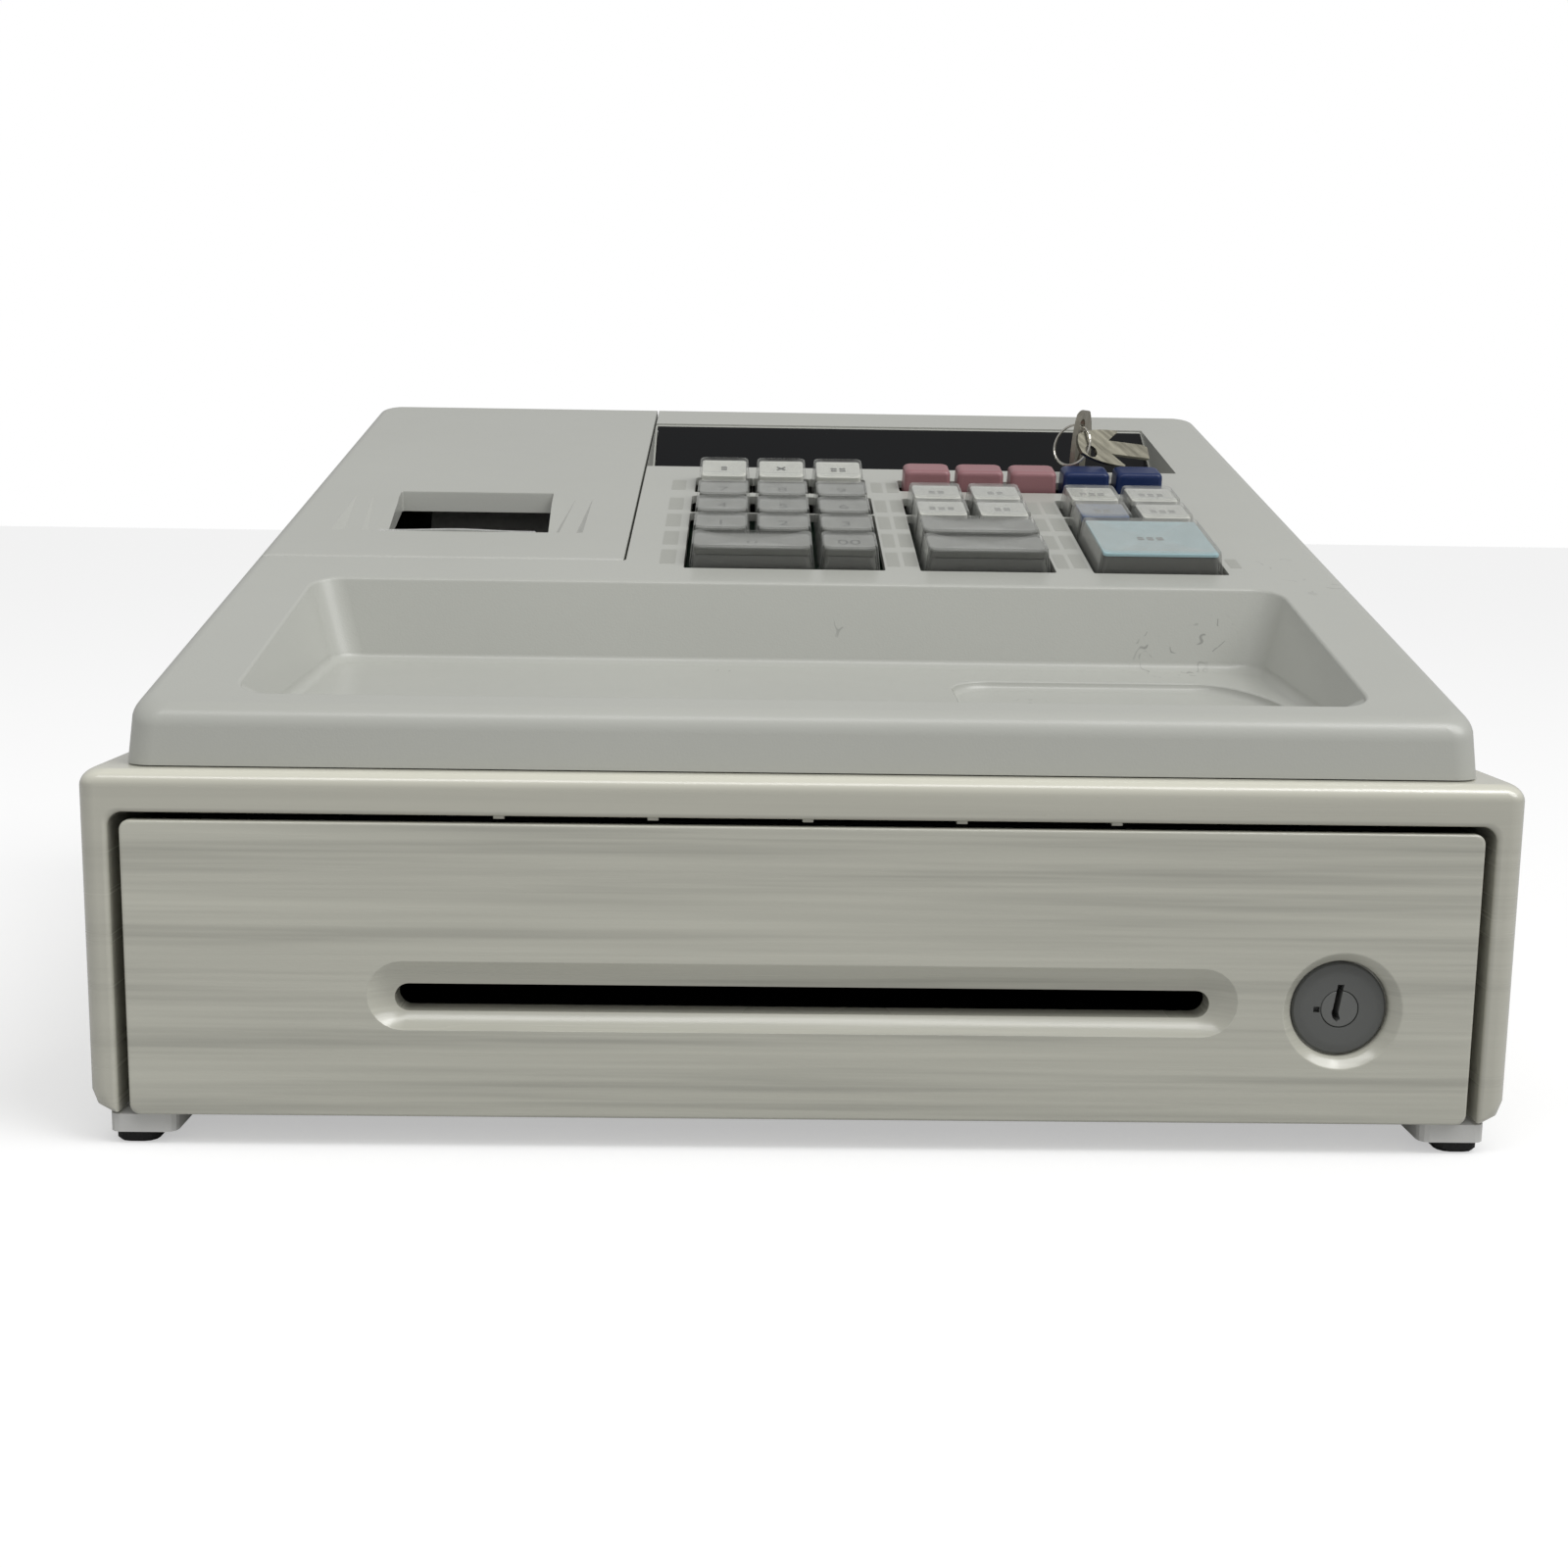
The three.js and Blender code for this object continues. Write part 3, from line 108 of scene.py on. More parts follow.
HOUSING_HALF = 158.8
HOUSING_EDGE = 157.6
HOUSING_Y = (6, 346)
HOUSING_BASE = 90
HOUSING_CORNER = 7
DECK_REAR = 320
EDGE = 4.5
SKIN = 2.6
COVER_RIGHT = -50.4
COVER_FRONT = 128.3
COVER_SKIRT = 20
SEAM = 0.35
EXIT_X = (-127.5, -78.4)
EXIT_S = (155.3, 201.3)
COLLAR_DEEP = 6.2
EXIT_RIM = ((0, -1.6, -20), (0, -1.6, -COLLAR_DEEP), (0, 0.1, -0.6), (0.15, 0.35, -0.15),
            (0.6, 0.9, 0), (0.6, 0.9, 3))  # growth, lean of the rear wall, height
RAMPS = ((10.5, 2.3), (3.2, 3.8))  # reach beside the exit and depth at its front
RAMP_INNER = 3.2
RAMP_FLARE = 1.3
RAMP_OVER = 3
EXIT_SKEW = -0.055
TRAY_HALF = 135
TRAY_S = (17.3, 107.8)
TRAY_CORNER = 8
TRAY_FILLET = 3
TRAY_RIM = 1.0
FLOOR_HALF = 129.5
FLOOR_Y = (21, 99)
FLOOR_Z = (99.4, 106.4)
PEN_X = (40, 124)
PEN_Y = (26, 80)
PEN_DEEP = 2.4
PEN_FILLET = 2
PEN_CORNER = 12
PEN_SWEEP = (18, 36)              # its large right rear corner
DISPLAY_X = (-50, 133)
DISPLAY_S = (239.3, 304.3)
WINDOW_LEAN = math.radians(36) - SLOPE
WINDOW_RUN = 46
WINDOW_GAP = 0.8

KEY_PITCH_X = 18.9
KEY_PITCH_S = 19.6
KEY_WIDE = 17.8
KEY_DEEP = 18.7
KEY_TALL = 6.3
KEY_BELOW = 5
KEY_DISH = (0.45, 0.8)            # of a single and of a wide key
CORE_DROP = 2.9                   # core and label, below the cap's top
TOTAL_DROP = 1.9                  # the same for the large key
LABEL_DROP = 1.0
MARK_LIFT = 0.12
NUMERAL = 7.2
BAR_WIDE = 2.0
BAR_GAP = 0.9
ROW_FRONT = 122.6
TOP_FRONT = 206.3
TOP_DEEP = 17.3
TOP_WIDE = KEY_WIDE - 0.2
GROUP_LEFT = (-31.8, 36.5, 86.6)
GROUP_COLUMNS = (3, 2, 2)
MARGIN = 1.2
SOLID_PITCH = 17.65
SOLID_WIDE = 15.8
SOLID_S = (211.6, 223.4)
SOLID_TALL = 6.6
MODE = (98, 232)                  # x, s
PRINT_COLUMNS = ((-40.2, -35.6, 0), (25.9, 29.6, 0), (31.0, 34.8, 0.6), (75.3, 78.9, 0.3),
                 (80.3, 84.3, 0.8))  # left, right and shift of the panels beside the keys
PRINT_DEEP = 14.2
PRINT_BY_TOTAL = ((126.4, 129.8), (128, 137))

CAMERA_TURN = (1.043, -8.868, 0.827)  # yaw, pitch and roll, in degrees
CAMERA_PLACE = (-0.01316, -0.6035, 0.15476)
CAMERA_LENS = 43.16

WORLD_SEEN = 1.0                  # studio: the world's strength to the camera, and as light
WORLD_LIGHT = 0.42
KEY_LIGHT = 1.22                  # a wide soft light from above, the right and the front
KEY_FROM = (0.6, -0.26, 0.75)
KEY_SPREAD = 38
STRIP_POWER = 5.8                 # a long soft light over the front edge
STRIP_SIZE = (1.5, 0.28)
STRIP_PLACE = (0.1, -0.66, 1.26)
FLOOR_ALBEDO = 0.6
FLOOR_GLOW = 0.46
FLOOR_REACH = 6000


# -------- mesh tools
def placed(name, data):
    """A new object in the scene."""
    obj = bpy.data.objects.new(name, data)
    bpy.context.scene.collection.objects.link(obj)
    return obj


def form(vertices, faces):
    """A closed mesh object in the drawing space, with its faces turned outward."""
    mesh = bpy.data.meshes.new("form")
    mesh.from_pydata([tuple(v) for v in vertices], [], faces)
    bm = bmesh.new()
    bm.from_mesh(mesh)
    bmesh.ops.remove_doubles(bm, verts=bm.verts, dist=1e-5)
    bmesh.ops.recalc_face_normals(bm, faces=bm.faces)
    bm.to_mesh(mesh)
    bm.free()
    return placed("form", mesh)


def between(a, b, t):
    return a + (b - a) * t


def inset(pair, by):
    return (pair[0] + by, pair[1] - by)


def arc(centre, radii, start, sweep=90, steps=8):
    """Points on an arc of a circle or an ellipse; start and sweep are in degrees."""
    turns = [math.radians(start + sweep * i / steps) for i in range(steps + 1)]
    return [(centre[0] + radii[0] * math.cos(turn), centre[1] + radii[1] * math.sin(turn))
            for turn in turns]


def quarter(radius, steps):
    """A rounded edge in equal turns: how far in and how far down, from its wall to its top."""
    turns = [math.radians(90 * i / steps) for i in range(steps + 1)]
    return [(radius * (1 - math.cos(turn)), radius * (1 - math.sin(turn))) for turn in turns]


def lifted(points, height):
    """Puts flat points on a height, which is a number or a function of x and y."""
    return [(x, y, height(x, y) if callable(height) else height) for x, y in points]


def ring(xs, ys, radius, height, steps=8):
    """The outline of a rounded rectangle; height is a number or a function of x and y."""
    corners = ((xs[1], ys[0], -90), (xs[1], ys[1], 0), (xs[0], ys[1], 90), (xs[0], ys[0], 180))
    points = []
    for x, y, start in corners:
        centre = (x - math.copysign(radius, x - (xs[0] + xs[1]) / 2),
                  y - math.copysign(radius, y - (ys[0] + ys[1]) / 2))
        points += arc(centre, (radius, radius), start, 90, steps)
    return lifted(points, height)


def loft(rings):
    """A closed solid through outlines with equal numbers of points."""
    count = len(rings[0])
    faces = [tuple(range(count)), tuple(range((len(rings) - 1) * count, len(rings) * count))]
    for k in range(len(rings) - 1):
        for i in range(count):
            j = (i + 1) % count
            faces.append((k * count + i, k * count + j, (k + 1) * count + j, (k + 1) * count + i))
    return form([p for r in rings for p in r], faces)


def block(xs, ys, zs, radius=0.8, steps=6):
    """A slab whose upright edges are rounded."""
    return loft([ring(xs, ys, radius, z, steps) for z in zs])


def prism(outline, ends, axis):
    """Sweeps a closed outline along x (outline in y, z) or along y (outline in x, z)."""
    place = {"x": lambda a, b, t: (t, a, b), "y": lambda a, b, t: (a, t, b)}[axis]
    return loft([[place(a, b, t) for a, b in outline] for t in ends])


def lathe(profile, axis, centre, segments=64):
    """Turns a closed (radius, along) profile about an axis through centre."""
    place = {"y": lambda c, s, t: (c, t, s), "z": lambda c, s, t: (c, s, t)}[axis]
    points = []
    for i in range(segments):
        turn = 2 * math.pi * i / segments
        for radius, along in profile:
            p = place(radius * math.cos(turn), radius * math.sin(turn), along)
            points.append(Vector(p) + Vector(centre))
    count = len(profile)
    faces = []
    for i in range(segments):
        j = (i + 1) % segments
        for k in range(count):
            m = (k + 1) % count
            if profile[k][0] < 1e-6 and profile[m][0] < 1e-6:
                continue
            faces.append((i * count + k, j * count + k, j * count + m, i * count + m))
    obj = form(points, faces)
    bm = bmesh.new()
    bm.from_mesh(obj.data)
    bmesh.ops.dissolve_degenerate(bm, edges=bm.edges, dist=1e-6)
    bmesh.ops.recalc_face_normals(bm, faces=bm.faces)
    bm.to_mesh(obj.data)
    bm.free()
    return obj


def rod(radius, ends, axis, centre, segments):
    return lathe([(0, ends[0]), (radius, ends[0]), (radius, ends[1]), (0, ends[1])],
                 axis, centre, segments)


def moved(obj, matrix):
    obj.data.transform(matrix)
    return obj


def on_deck(obj):
    return moved(obj, deck_to_draw)


def twin(obj):
    return placed("form", obj.data.copy())


def combined(base, tools, how):
    """Joins tools to base, or cuts them from it, and removes them."""
    for tool in tools:
        step = base.modifiers.new("step", "BOOLEAN")
        step.solver = "MANIFOLD"
        step.operation = how
        step.object = tool
    graph = bpy.context.evaluated_depsgraph_get()
    mesh = bpy.data.meshes.new_from_object(base.evaluated_get(graph))
    base.modifiers.clear()
    base.data = mesh
    for tool in tools:
        bpy.data.objects.remove(tool)
    return base


def cut(base, *tools):
    return combined(base, tools, "DIFFERENCE")


def join(base, *tools):
    return combined(base, tools, "UNION")


def common(base, tool):
    return combined(base, [tool], "INTERSECT")


def combined_forms(forms):
    """Puts separate forms that do not touch into one mesh."""
    bm = bmesh.new()
    for part in forms:
        bm.from_mesh(part.data)
    base = forms[0]
    bm.to_mesh(base.data)
    bm.free()
    for part in forms[1:]:
        bpy.data.objects.remove(part)
    return base


def cleaned(obj, flat=0.2):
    """Merges the slivers that joining and cutting leave."""
    bm = bmesh.new()
    bm.from_mesh(obj.data)
    bmesh.ops.remove_doubles(bm, verts=bm.verts, dist=0.004)
    bmesh.ops.dissolve_degenerate(bm, edges=bm.edges, dist=0.004)
    bmesh.ops.dissolve_limit(bm, angle_limit=math.radians(flat), verts=bm.verts, edges=bm.edges)
    bm.to_mesh(obj.data)
    bm.free()
    return obj


def softened(obj, width, crisp):
    """Rounds the edges that turn by more than crisp degrees."""
    rounding = obj.modifiers.new("edges", "BEVEL")
    rounding.width = width * MM
    rounding.segments = 2
    rounding.limit_method = "ANGLE"
    rounding.angle_limit = math.radians(crisp)


def piece(obj, name, body, material, replaces=(), crisp=32, bevel=0.0):
    """Finishes a form as a named piece of the object that moves with a body."""
    obj.data.transform(draw_to_frame)
    obj.name = name
    obj.data.name = name
    obj.data.materials.clear()
    obj.data.materials.append(material)
    obj.data.shade_smooth()
    if bevel:
        softened(obj, bevel, crisp)
    else:
        obj.data.set_sharp_from_angle(angle=math.radians(crisp))
    level = obj.modifiers.new("normals", "WEIGHTED_NORMAL")
    level.keep_sharp = True
    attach(obj, body)
    if replaces:
        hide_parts(*replaces)
    return obj


# -------- materials
class Shader:
    """A small hand for building one material's nodes."""

    def __init__(self, name, color, roughness, metallic=0.0, **sockets):
        self.material = bpy.data.materials.new(name)
        self.material.use_nodes = True
        self.tree = self.material.node_tree
        self.bsdf = self.tree.nodes["Principled BSDF"]
        self.bsdf.inputs["Base Color"].default_value = (*color, 1)
        self.bsdf.inputs["Roughness"].default_value = roughness
        self.bsdf.inputs["Metallic"].default_value = metallic
        for socket, value in sockets.items():
            self.bsdf.inputs[socket.replace("_", " ")].default_value = value
        self.where = self.node("ShaderNodeTexCoord").outputs["Object"]

    def node(self, kind, **values):
        made = self.tree.nodes.new(kind)
        for key, value in values.items():
            setattr(made, key, value)
        return made

    def link(self, out, into):
        self.tree.links.new(out, into)

    def noise(self, scale, stretch=(1, 1, 1), detail=3.0, rough=0.55):
        mapping = self.node("ShaderNodeMapping")
        mapping.inputs["Scale"].default_value = stretch
        self.link(self.where, mapping.inputs["Vector"])
        noise = self.node("ShaderNodeTexNoise")
        noise.inputs["Scale"].default_value = scale
        noise.inputs["Detail"].default_value = detail
        noise.inputs["Roughness"].default_value = rough
        self.link(mapping.outputs["Vector"], noise.inputs["Vector"])
        return noise.outputs["Fac"]

    def spread(self, value, low, high, start=0.3, end=0.7):
        """Maps a noise value from start..end to low..high."""
        out = self.node("ShaderNodeMapRange")
        limits = {"From Min": start, "From Max": end, "To Min": low, "To Max": high}
        for socket, number in limits.items():
            out.inputs[socket].default_value = number
        self.link(value, out.inputs["Value"])
        return out.outputs["Result"]

    def tint(self, base, other, factor):
        """Mixes the base colour towards another one by a factor output."""
        mix = self.node("ShaderNodeMix", data_type="RGBA")
        self.link(factor, mix.inputs[0])
        if isinstance(base, tuple):
            mix.inputs[6].default_value = (*base, 1)
        else:
            self.link(base, mix.inputs[6])
        mix.inputs[7].default_value = (*other, 1)
        return mix.outputs[2]

    def upward(self):
        """How far the surface faces up: 0 on a wall, 1 on a level face."""
        split = self.node("ShaderNodeSeparateXYZ")
        self.link(self.node("ShaderNodeTexCoord").outputs["Normal"], split.inputs[0])
        return split.outputs["Z"]

    def times(self, a, b):
        out = self.node("ShaderNodeMath", operation="MULTIPLY")
        self.link(a, out.inputs[0])
        self.link(b, out.inputs[1])
        return out.outputs[0]

    def thread(self, noise, width):
        """Thin winding lines where a noise value crosses its middle."""
        away = self.node("ShaderNodeMath", operation="SUBTRACT")
        self.link(noise, away.inputs[0])
        away.inputs[1].default_value = 0.5
        size = self.node("ShaderNodeMath", operation="ABSOLUTE")
        self.link(away.outputs[0], size.inputs[0])
        return self.spread(size.outputs[0], 1, 0, width * 0.3, width)

    def near(self, places):
        """1 close to any of the places (x, y, z, radius, in the drawing space), fading to 0."""
        total = None
        for x, y, z, radius in places:
            gap = self.node("ShaderNodeVectorMath", operation="DISTANCE")
            self.link(self.where, gap.inputs[0])
            gap.inputs[1].default_value = draw_to_frame @ Vector((x, y, z))
            fade = self.spread(gap.outputs["Value"], 1, 0, radius * MM * 0.6, radius * MM)
            if total is None:
                total = fade
                continue
            most = self.node("ShaderNodeMath", operation="MAXIMUM")
            self.link(total, most.inputs[0])
            self.link(fade, most.inputs[1])
            total = most.outputs[0]
        return total

    def color(self, output):
        self.link(output, self.bsdf.inputs["Base Color"])

    def rough(self, output):
        self.link(output, self.bsdf.inputs["Roughness"])

    def bump(self, height, distance, strength=0.6):
        bump = self.node("ShaderNodeBump")
        bump.inputs["Strength"].default_value = strength
        bump.inputs["Distance"].default_value = distance
        self.link(height, bump.inputs["Height"])
        self.link(bump.outputs["Normal"], self.bsdf.inputs["Normal"])


def moulded(name, color, roughness, grain=0.00006, grain_scale=1700, mottle=0.06, **sockets):
    """Moulded plastic: fine spark texture, faint blotches and handling marks in its gloss."""
    shader = Shader(name, color, roughness, **sockets)
    blotch = shader.spread(shader.noise(9, detail=4), 0, 1)
    darker = tuple(c * (1 - mottle) for c in color)
    shader.color(shader.tint(color, darker, blotch))
    smear = shader.noise(38, detail=5)
    shader.rough(shader.spread(smear, roughness * 0.86, min(1, roughness * 1.16)))
    if grain:
        shader.bump(shader.noise(grain_scale, detail=2), grain)
    return shader


def streaked(name, color, roughness, deep=1.0, upward=1.0):
    """Glossy cream moulding with long, level flow marks in its gloss and its surface, and painted shade and
    painted highlight bands in its colour that stand for the light on those ripples.

    Its upward faces are painted paler by the factor upward, a painted highlight for the light that falls
    from above.
    """
    shader = Shader(name, color, roughness)
    shader.bsdf.inputs["Coat Weight"].default_value = 0.8
    shader.bsdf.inputs["Coat Roughness"].default_value = 0.2
    fine = shader.noise(1, stretch=(6, 2, 300), detail=3, rough=0.6)
    broad = shader.noise(1, stretch=(4.2, 2, 100), detail=2, rough=0.5)
    # painted shade and painted highlight: the darker and the lighter colour bands stand for light and shade
    # on the flow ripples, not for a colour of the plastic
    darker = tuple(c * (1 - 0.2 * deep) for c in color)
    painted_ripple_highlight = tuple(min(1, c * (1 + 0.10 * deep)) for c in color)
    base = shader.tint(color, darker, shader.spread(fine, 0, 1, 0.46, 0.66))
    base = shader.tint(base, painted_ripple_highlight, shader.spread(broad, 0, 1, 0.48, 0.68))
    # painted highlight: faces that point up are tinted paler, standing in for the light that falls on them
    # from above
    if upward > 1:
        painted_top_highlight = tuple(min(0.9, c * upward) for c in color)
        base = shader.tint(base, painted_top_highlight, shader.spread(shader.upward(), 0, 1, 0.2, 0.75))
    shader.color(base)
    shader.rough(shader.spread(fine, roughness * 0.8, roughness * 1.25))
    shader.bump(shader.noise(1, stretch=(5, 2, 200), detail=2), 0.0009 * deep, 0.6)
    return shader.material


def scuffed(name, color, roughness):
    """The housing's moulding, with light rub marks by the keys and dark hairs in the coin tray."""
    shader = moulded(name, color, roughness, mottle=0.05, Coat_Weight=0.5, Coat_Roughness=0.24)
    base = shader.bsdf.inputs["Base Color"].links[0].from_socket
    for places, scale, width, tone in ((SCUFFS, 120, 0.03, 0.8), (HAIRS, 150, 0.02, 0.62)):
        lines = shader.thread(shader.noise(scale, detail=1), width)
        broken = shader.spread(shader.noise(scale * 2.4, detail=0), 0, 1, 0.53, 0.57)
        near = shader.near(places)
        mask = shader.times(shader.times(lines, broken), near)
        base = shader.tint(base, tuple(c * tone for c in color), mask)
    shader.color(base)
    return shader.material


def dusty(name, color, roughness):
    """A black part deep inside, with pale specks of paper dust."""
    shader = moulded(name, color, roughness, grain=0, mottle=0.4, Specular_IOR_Level=0.1, IOR=1.08)
    base = shader.bsdf.inputs["Base Color"].links[0].from_socket
    patch = shader.spread(shader.noise(90, detail=2), 0, 1, 0.48, 0.6)
    grit = shader.spread(shader.noise(900, detail=3, rough=0.7), 0, 1, 0.6, 0.66)
    specks = shader.times(grit, patch)
    shader.color(shader.tint(base, (0.30, 0.30, 0.29), specks))
    return shader.material


def worn_metal(name, color, roughness, scratch=(40, 900, 40)):
    """Plated metal with hairline scratches and slightly tarnished patches."""
    shader = Shader(name, color, roughness, metallic=1.0)
    lines = shader.noise(1, stretch=scratch, detail=4, rough=0.7)
    patches = shader.noise(160, detail=3)
    dull = tuple(c * 0.62 for c in color)
    shader.color(shader.tint(color, dull, shader.spread(patches, 0, 0.7, 0.45, 0.75)))
    shader.rough(shader.spread(lines, roughness * 0.7, roughness * 1.5))
    shader.bump(lines, 0.00004, 0.4)
    return shader.material


def clear_plastic(name, haze, color=(0.42, 0.43, 0.41)):
    """A clear moulded cap: see-through straight on, milkier and brighter along its edges."""
    shader = Shader(name, color, 0.16)
    shader.bsdf.inputs["IOR"].default_value = 2.1
    facing = shader.node("ShaderNodeLayerWeight")
    facing.inputs["Blend"].default_value = 0.5
    edge = shader.spread(facing.outputs["Facing"], haze, 0.8, 0.55, 0.92)
    shader.link(edge, shader.bsdf.inputs["Alpha"])
    smear = shader.noise(240, detail=3)
    shader.color(shader.tint(color, tuple(c * 0.8 for c in color), shader.spread(smear, 0, 1)))
    shader.rough(shader.spread(smear, 0.10, 0.24))
    return shader.material


# Places on the housing with rub marks and with hairs: x, y, z and radius.
SCUFFS = ((140, 128, 135, 9), (146, 108, 130, 10), (128, 60, 118, 5))
HAIRS = ((104, 96, 112, 13), (12, 97, 118, 6), (116, 99, 117, 8), (60, 60, 103, 9), (-20, 92, 108, 5))

housing_plastic = scuffed("housing_plastic", (0.475, 0.482, 0.442), 0.46)
# the last number, 1.45, paints the cabinet's upward faces paler as a painted highlight
cabinet_plastic = streaked("cabinet_plastic", (0.485, 0.478, 0.408), 0.24, 0.35, 1.45)
# both streaked materials carry painted shade and painted highlight bands in their colour for the light on
# the flow ripples
streaked_plastic = streaked("streaked_plastic", (0.49, 0.487, 0.418), 0.28)
base_plastic = moulded("base_plastic", (0.60, 0.60, 0.58), 0.5).material
drawer_plastic = moulded("drawer_plastic", (0.075, 0.076, 0.08), 0.48, grain=0.0001).material
till_plastic = moulded("till_plastic", (0.030, 0.030, 0.033), 0.42, grain=0.0001, mottle=0.25).material
black_plastic = moulded("black_plastic", (0.011, 0.011, 0.012), 0.38, mottle=0.3).material
rubber = moulded("rubber", (0.022, 0.022, 0.022), 0.85, grain=0.00012, mottle=0.3).material
dusty_black = dusty("dusty_black", (0.004, 0.004, 0.0045), 0.5)
lock_plastic = moulded("lock_plastic", (0.112, 0.116, 0.111), 0.36, mottle=0.08).material
plug_plastic = moulded("plug_plastic", (0.14, 0.144, 0.138), 0.34, mottle=0.08).material
board_green = moulded("board_green", (0.012, 0.05, 0.022), 0.45, grain=0, mottle=0.3).material
nickel = worn_metal("nickel", (0.36, 0.34, 0.285), 0.36)
dull_nickel = worn_metal("dull_nickel", (0.155, 0.148, 0.118), 0.42)
dusty_rubber = dusty("dusty_rubber", (0.005, 0.005, 0.005), 0.8)
bright_wire = worn_metal("bright_wire", (0.66, 0.64, 0.58), 0.18, scratch=(300, 300, 300))
chrome = worn_metal("chrome", (0.60, 0.60, 0.60), 0.16, scratch=(120, 120, 120))
zinc = worn_metal("zinc", (0.50, 0.50, 0.49), 0.38)
smoked = moulded("smoked", (0.006, 0.0065, 0.0075), 0.08, grain=0, mottle=0.3,
                 Specular_IOR_Level=0.15).material
paper = moulded("paper", (0.80, 0.79, 0.76), 0.85, grain=0.00005, grain_scale=2600, mottle=0.03).material
cap_clear = clear_plastic("cap_clear", 0.06, (0.46, 0.47, 0.44))
bar_clear = clear_plastic("bar_clear", 0.6, (0.75, 0.76, 0.73))
key_base_grey = moulded("key_base_grey", (0.104, 0.106, 0.096), 0.45, mottle=0.1).material
label_grey = moulded("label_grey", (0.09, 0.093, 0.082), 0.5, mottle=0.06).material
label_white = moulded("label_white", (0.66, 0.665, 0.61), 0.5, mottle=0.04).material
label_lilac = moulded("label_lilac", (0.13, 0.17, 0.26), 0.5, mottle=0.04).material
label_cyan = moulded("label_cyan", (0.37, 0.55, 0.59), 0.5, mottle=0.03).material
ink_grey = moulded("ink_grey", (0.045, 0.047, 0.045), 0.6, grain=0).material
print_grey = moulded("print_grey", (0.385, 0.39, 0.355), 0.5, mottle=0.05).material
pink_plastic = moulded("pink_plastic", (0.33, 0.16, 0.172), 0.36, mottle=0.12,
                       Specular_IOR_Level=0.4).material
blue_plastic = moulded("blue_plastic", (0.008, 0.024, 0.10), 0.34, mottle=0.15,
                       Specular_IOR_Level=0.35).material


# -------- camera, light and floor
def camera():
    """Looks at the register from its front, a little from above."""
    yaw, pitch, roll = (math.radians(turn) for turn in CAMERA_TURN)
    forward = Vector((math.sin(yaw) * math.cos(pitch), math.cos(yaw) * math.cos(pitch), math.sin(pitch)))
    level = Vector((math.cos(yaw), -math.sin(yaw), 0))
    upward = level.cross(forward)
    side = math.cos(roll) * level + math.sin(roll) * upward
    top = math.cos(roll) * upward - math.sin(roll) * level
    data = bpy.data.cameras.new("camera")
    data.lens = CAMERA_LENS
    data.sensor_width = 36
    data.clip_start = 0.01
    obj = placed("camera", data)
    turn = Matrix((side, top, -forward)).transposed().to_4x4()
    obj.matrix_world = Matrix.Translation(CAMERA_PLACE) @ turn
    bpy.context.scene.camera = obj


def seen_or_lit(tree, seen, lit):
    """One strength for what the camera sees, another for the light that falls on the object."""
    path = tree.nodes.new("ShaderNodeLightPath")
    pick = tree.nodes.new("ShaderNodeMix")
    tree.links.new(path.outputs["Is Camera Ray"], pick.inputs[0])
    pick.inputs[2].default_value = lit
    pick.inputs[3].default_value = seen
    return pick.outputs[0]


def studio_world():
    """White behind the object to the camera; a softer room for its light."""
    world = bpy.data.worlds.new("studio")
    world.use_nodes = True
    tree = world.node_tree
    background = tree.nodes["Background"]
    background.inputs["Color"].default_value = (1, 1, 1, 1)
    tree.links.new(seen_or_lit(tree, WORLD_SEEN, WORLD_LIGHT), background.inputs["Strength"])
    bpy.context.scene.world = world


def aimed(obj, source):
    """Turns a light so that it shines from a place or direction towards the origin."""
    obj.rotation_euler = Vector(source).to_track_quat("Z", "Y").to_euler()


def key_light():
    data = bpy.data.lights.new("key", "SUN")
    data.energy = KEY_LIGHT
    data.angle = math.radians(KEY_SPREAD)
    aimed(placed("key", data), KEY_FROM)


def strip_light():
    data = bpy.data.lights.new("strip", "AREA")
    data.shape = "RECTANGLE"
    data.size, data.size_y = STRIP_SIZE
    data.energy = STRIP_POWER
    obj = placed("strip", data)
    obj.location = STRIP_PLACE
    aimed(obj, STRIP_PLACE)


def studio_floor():
    white = Shader("floor_white", (FLOOR_ALBEDO,) * 3, 0.9, Specular_IOR_Level=0.0)
    white.bsdf.inputs["Emission Color"].default_value = (1, 1, 1, 1)
    white.link(seen_or_lit(white.tree, FLOOR_GLOW, 0.0), white.bsdf.inputs["Emission Strength"])
    reach = (-FLOOR_REACH, FLOOR_REACH)
    floor = loft([ring(reach, reach, 10, z) for z in (-2, 0)])
    floor.data.transform(draw_to_frame)
    floor.name = "floor"
    floor.data.materials.append(white.material)


def surroundings():
    bpy.context.scene.view_settings.view_transform = "Standard"
    studio_world()
    key_light()
    strip_light()
    studio_floor()


camera()
surroundings()


# -------- lower cabinet
def frame_outline(grow, radius=3.5):
    """The drawer's opening in x and z, with its two upper corners rounded."""
    half, top = FRAME_HALF + grow, FRAME_TOP + grow
    points = [(-half, FRAME_FOOT), (half, FRAME_FOOT)]
    for cx, start in ((half - radius, 0), (-half + radius, 90)):
        points += arc((cx, top - radius), (radius, radius), start)
    return points


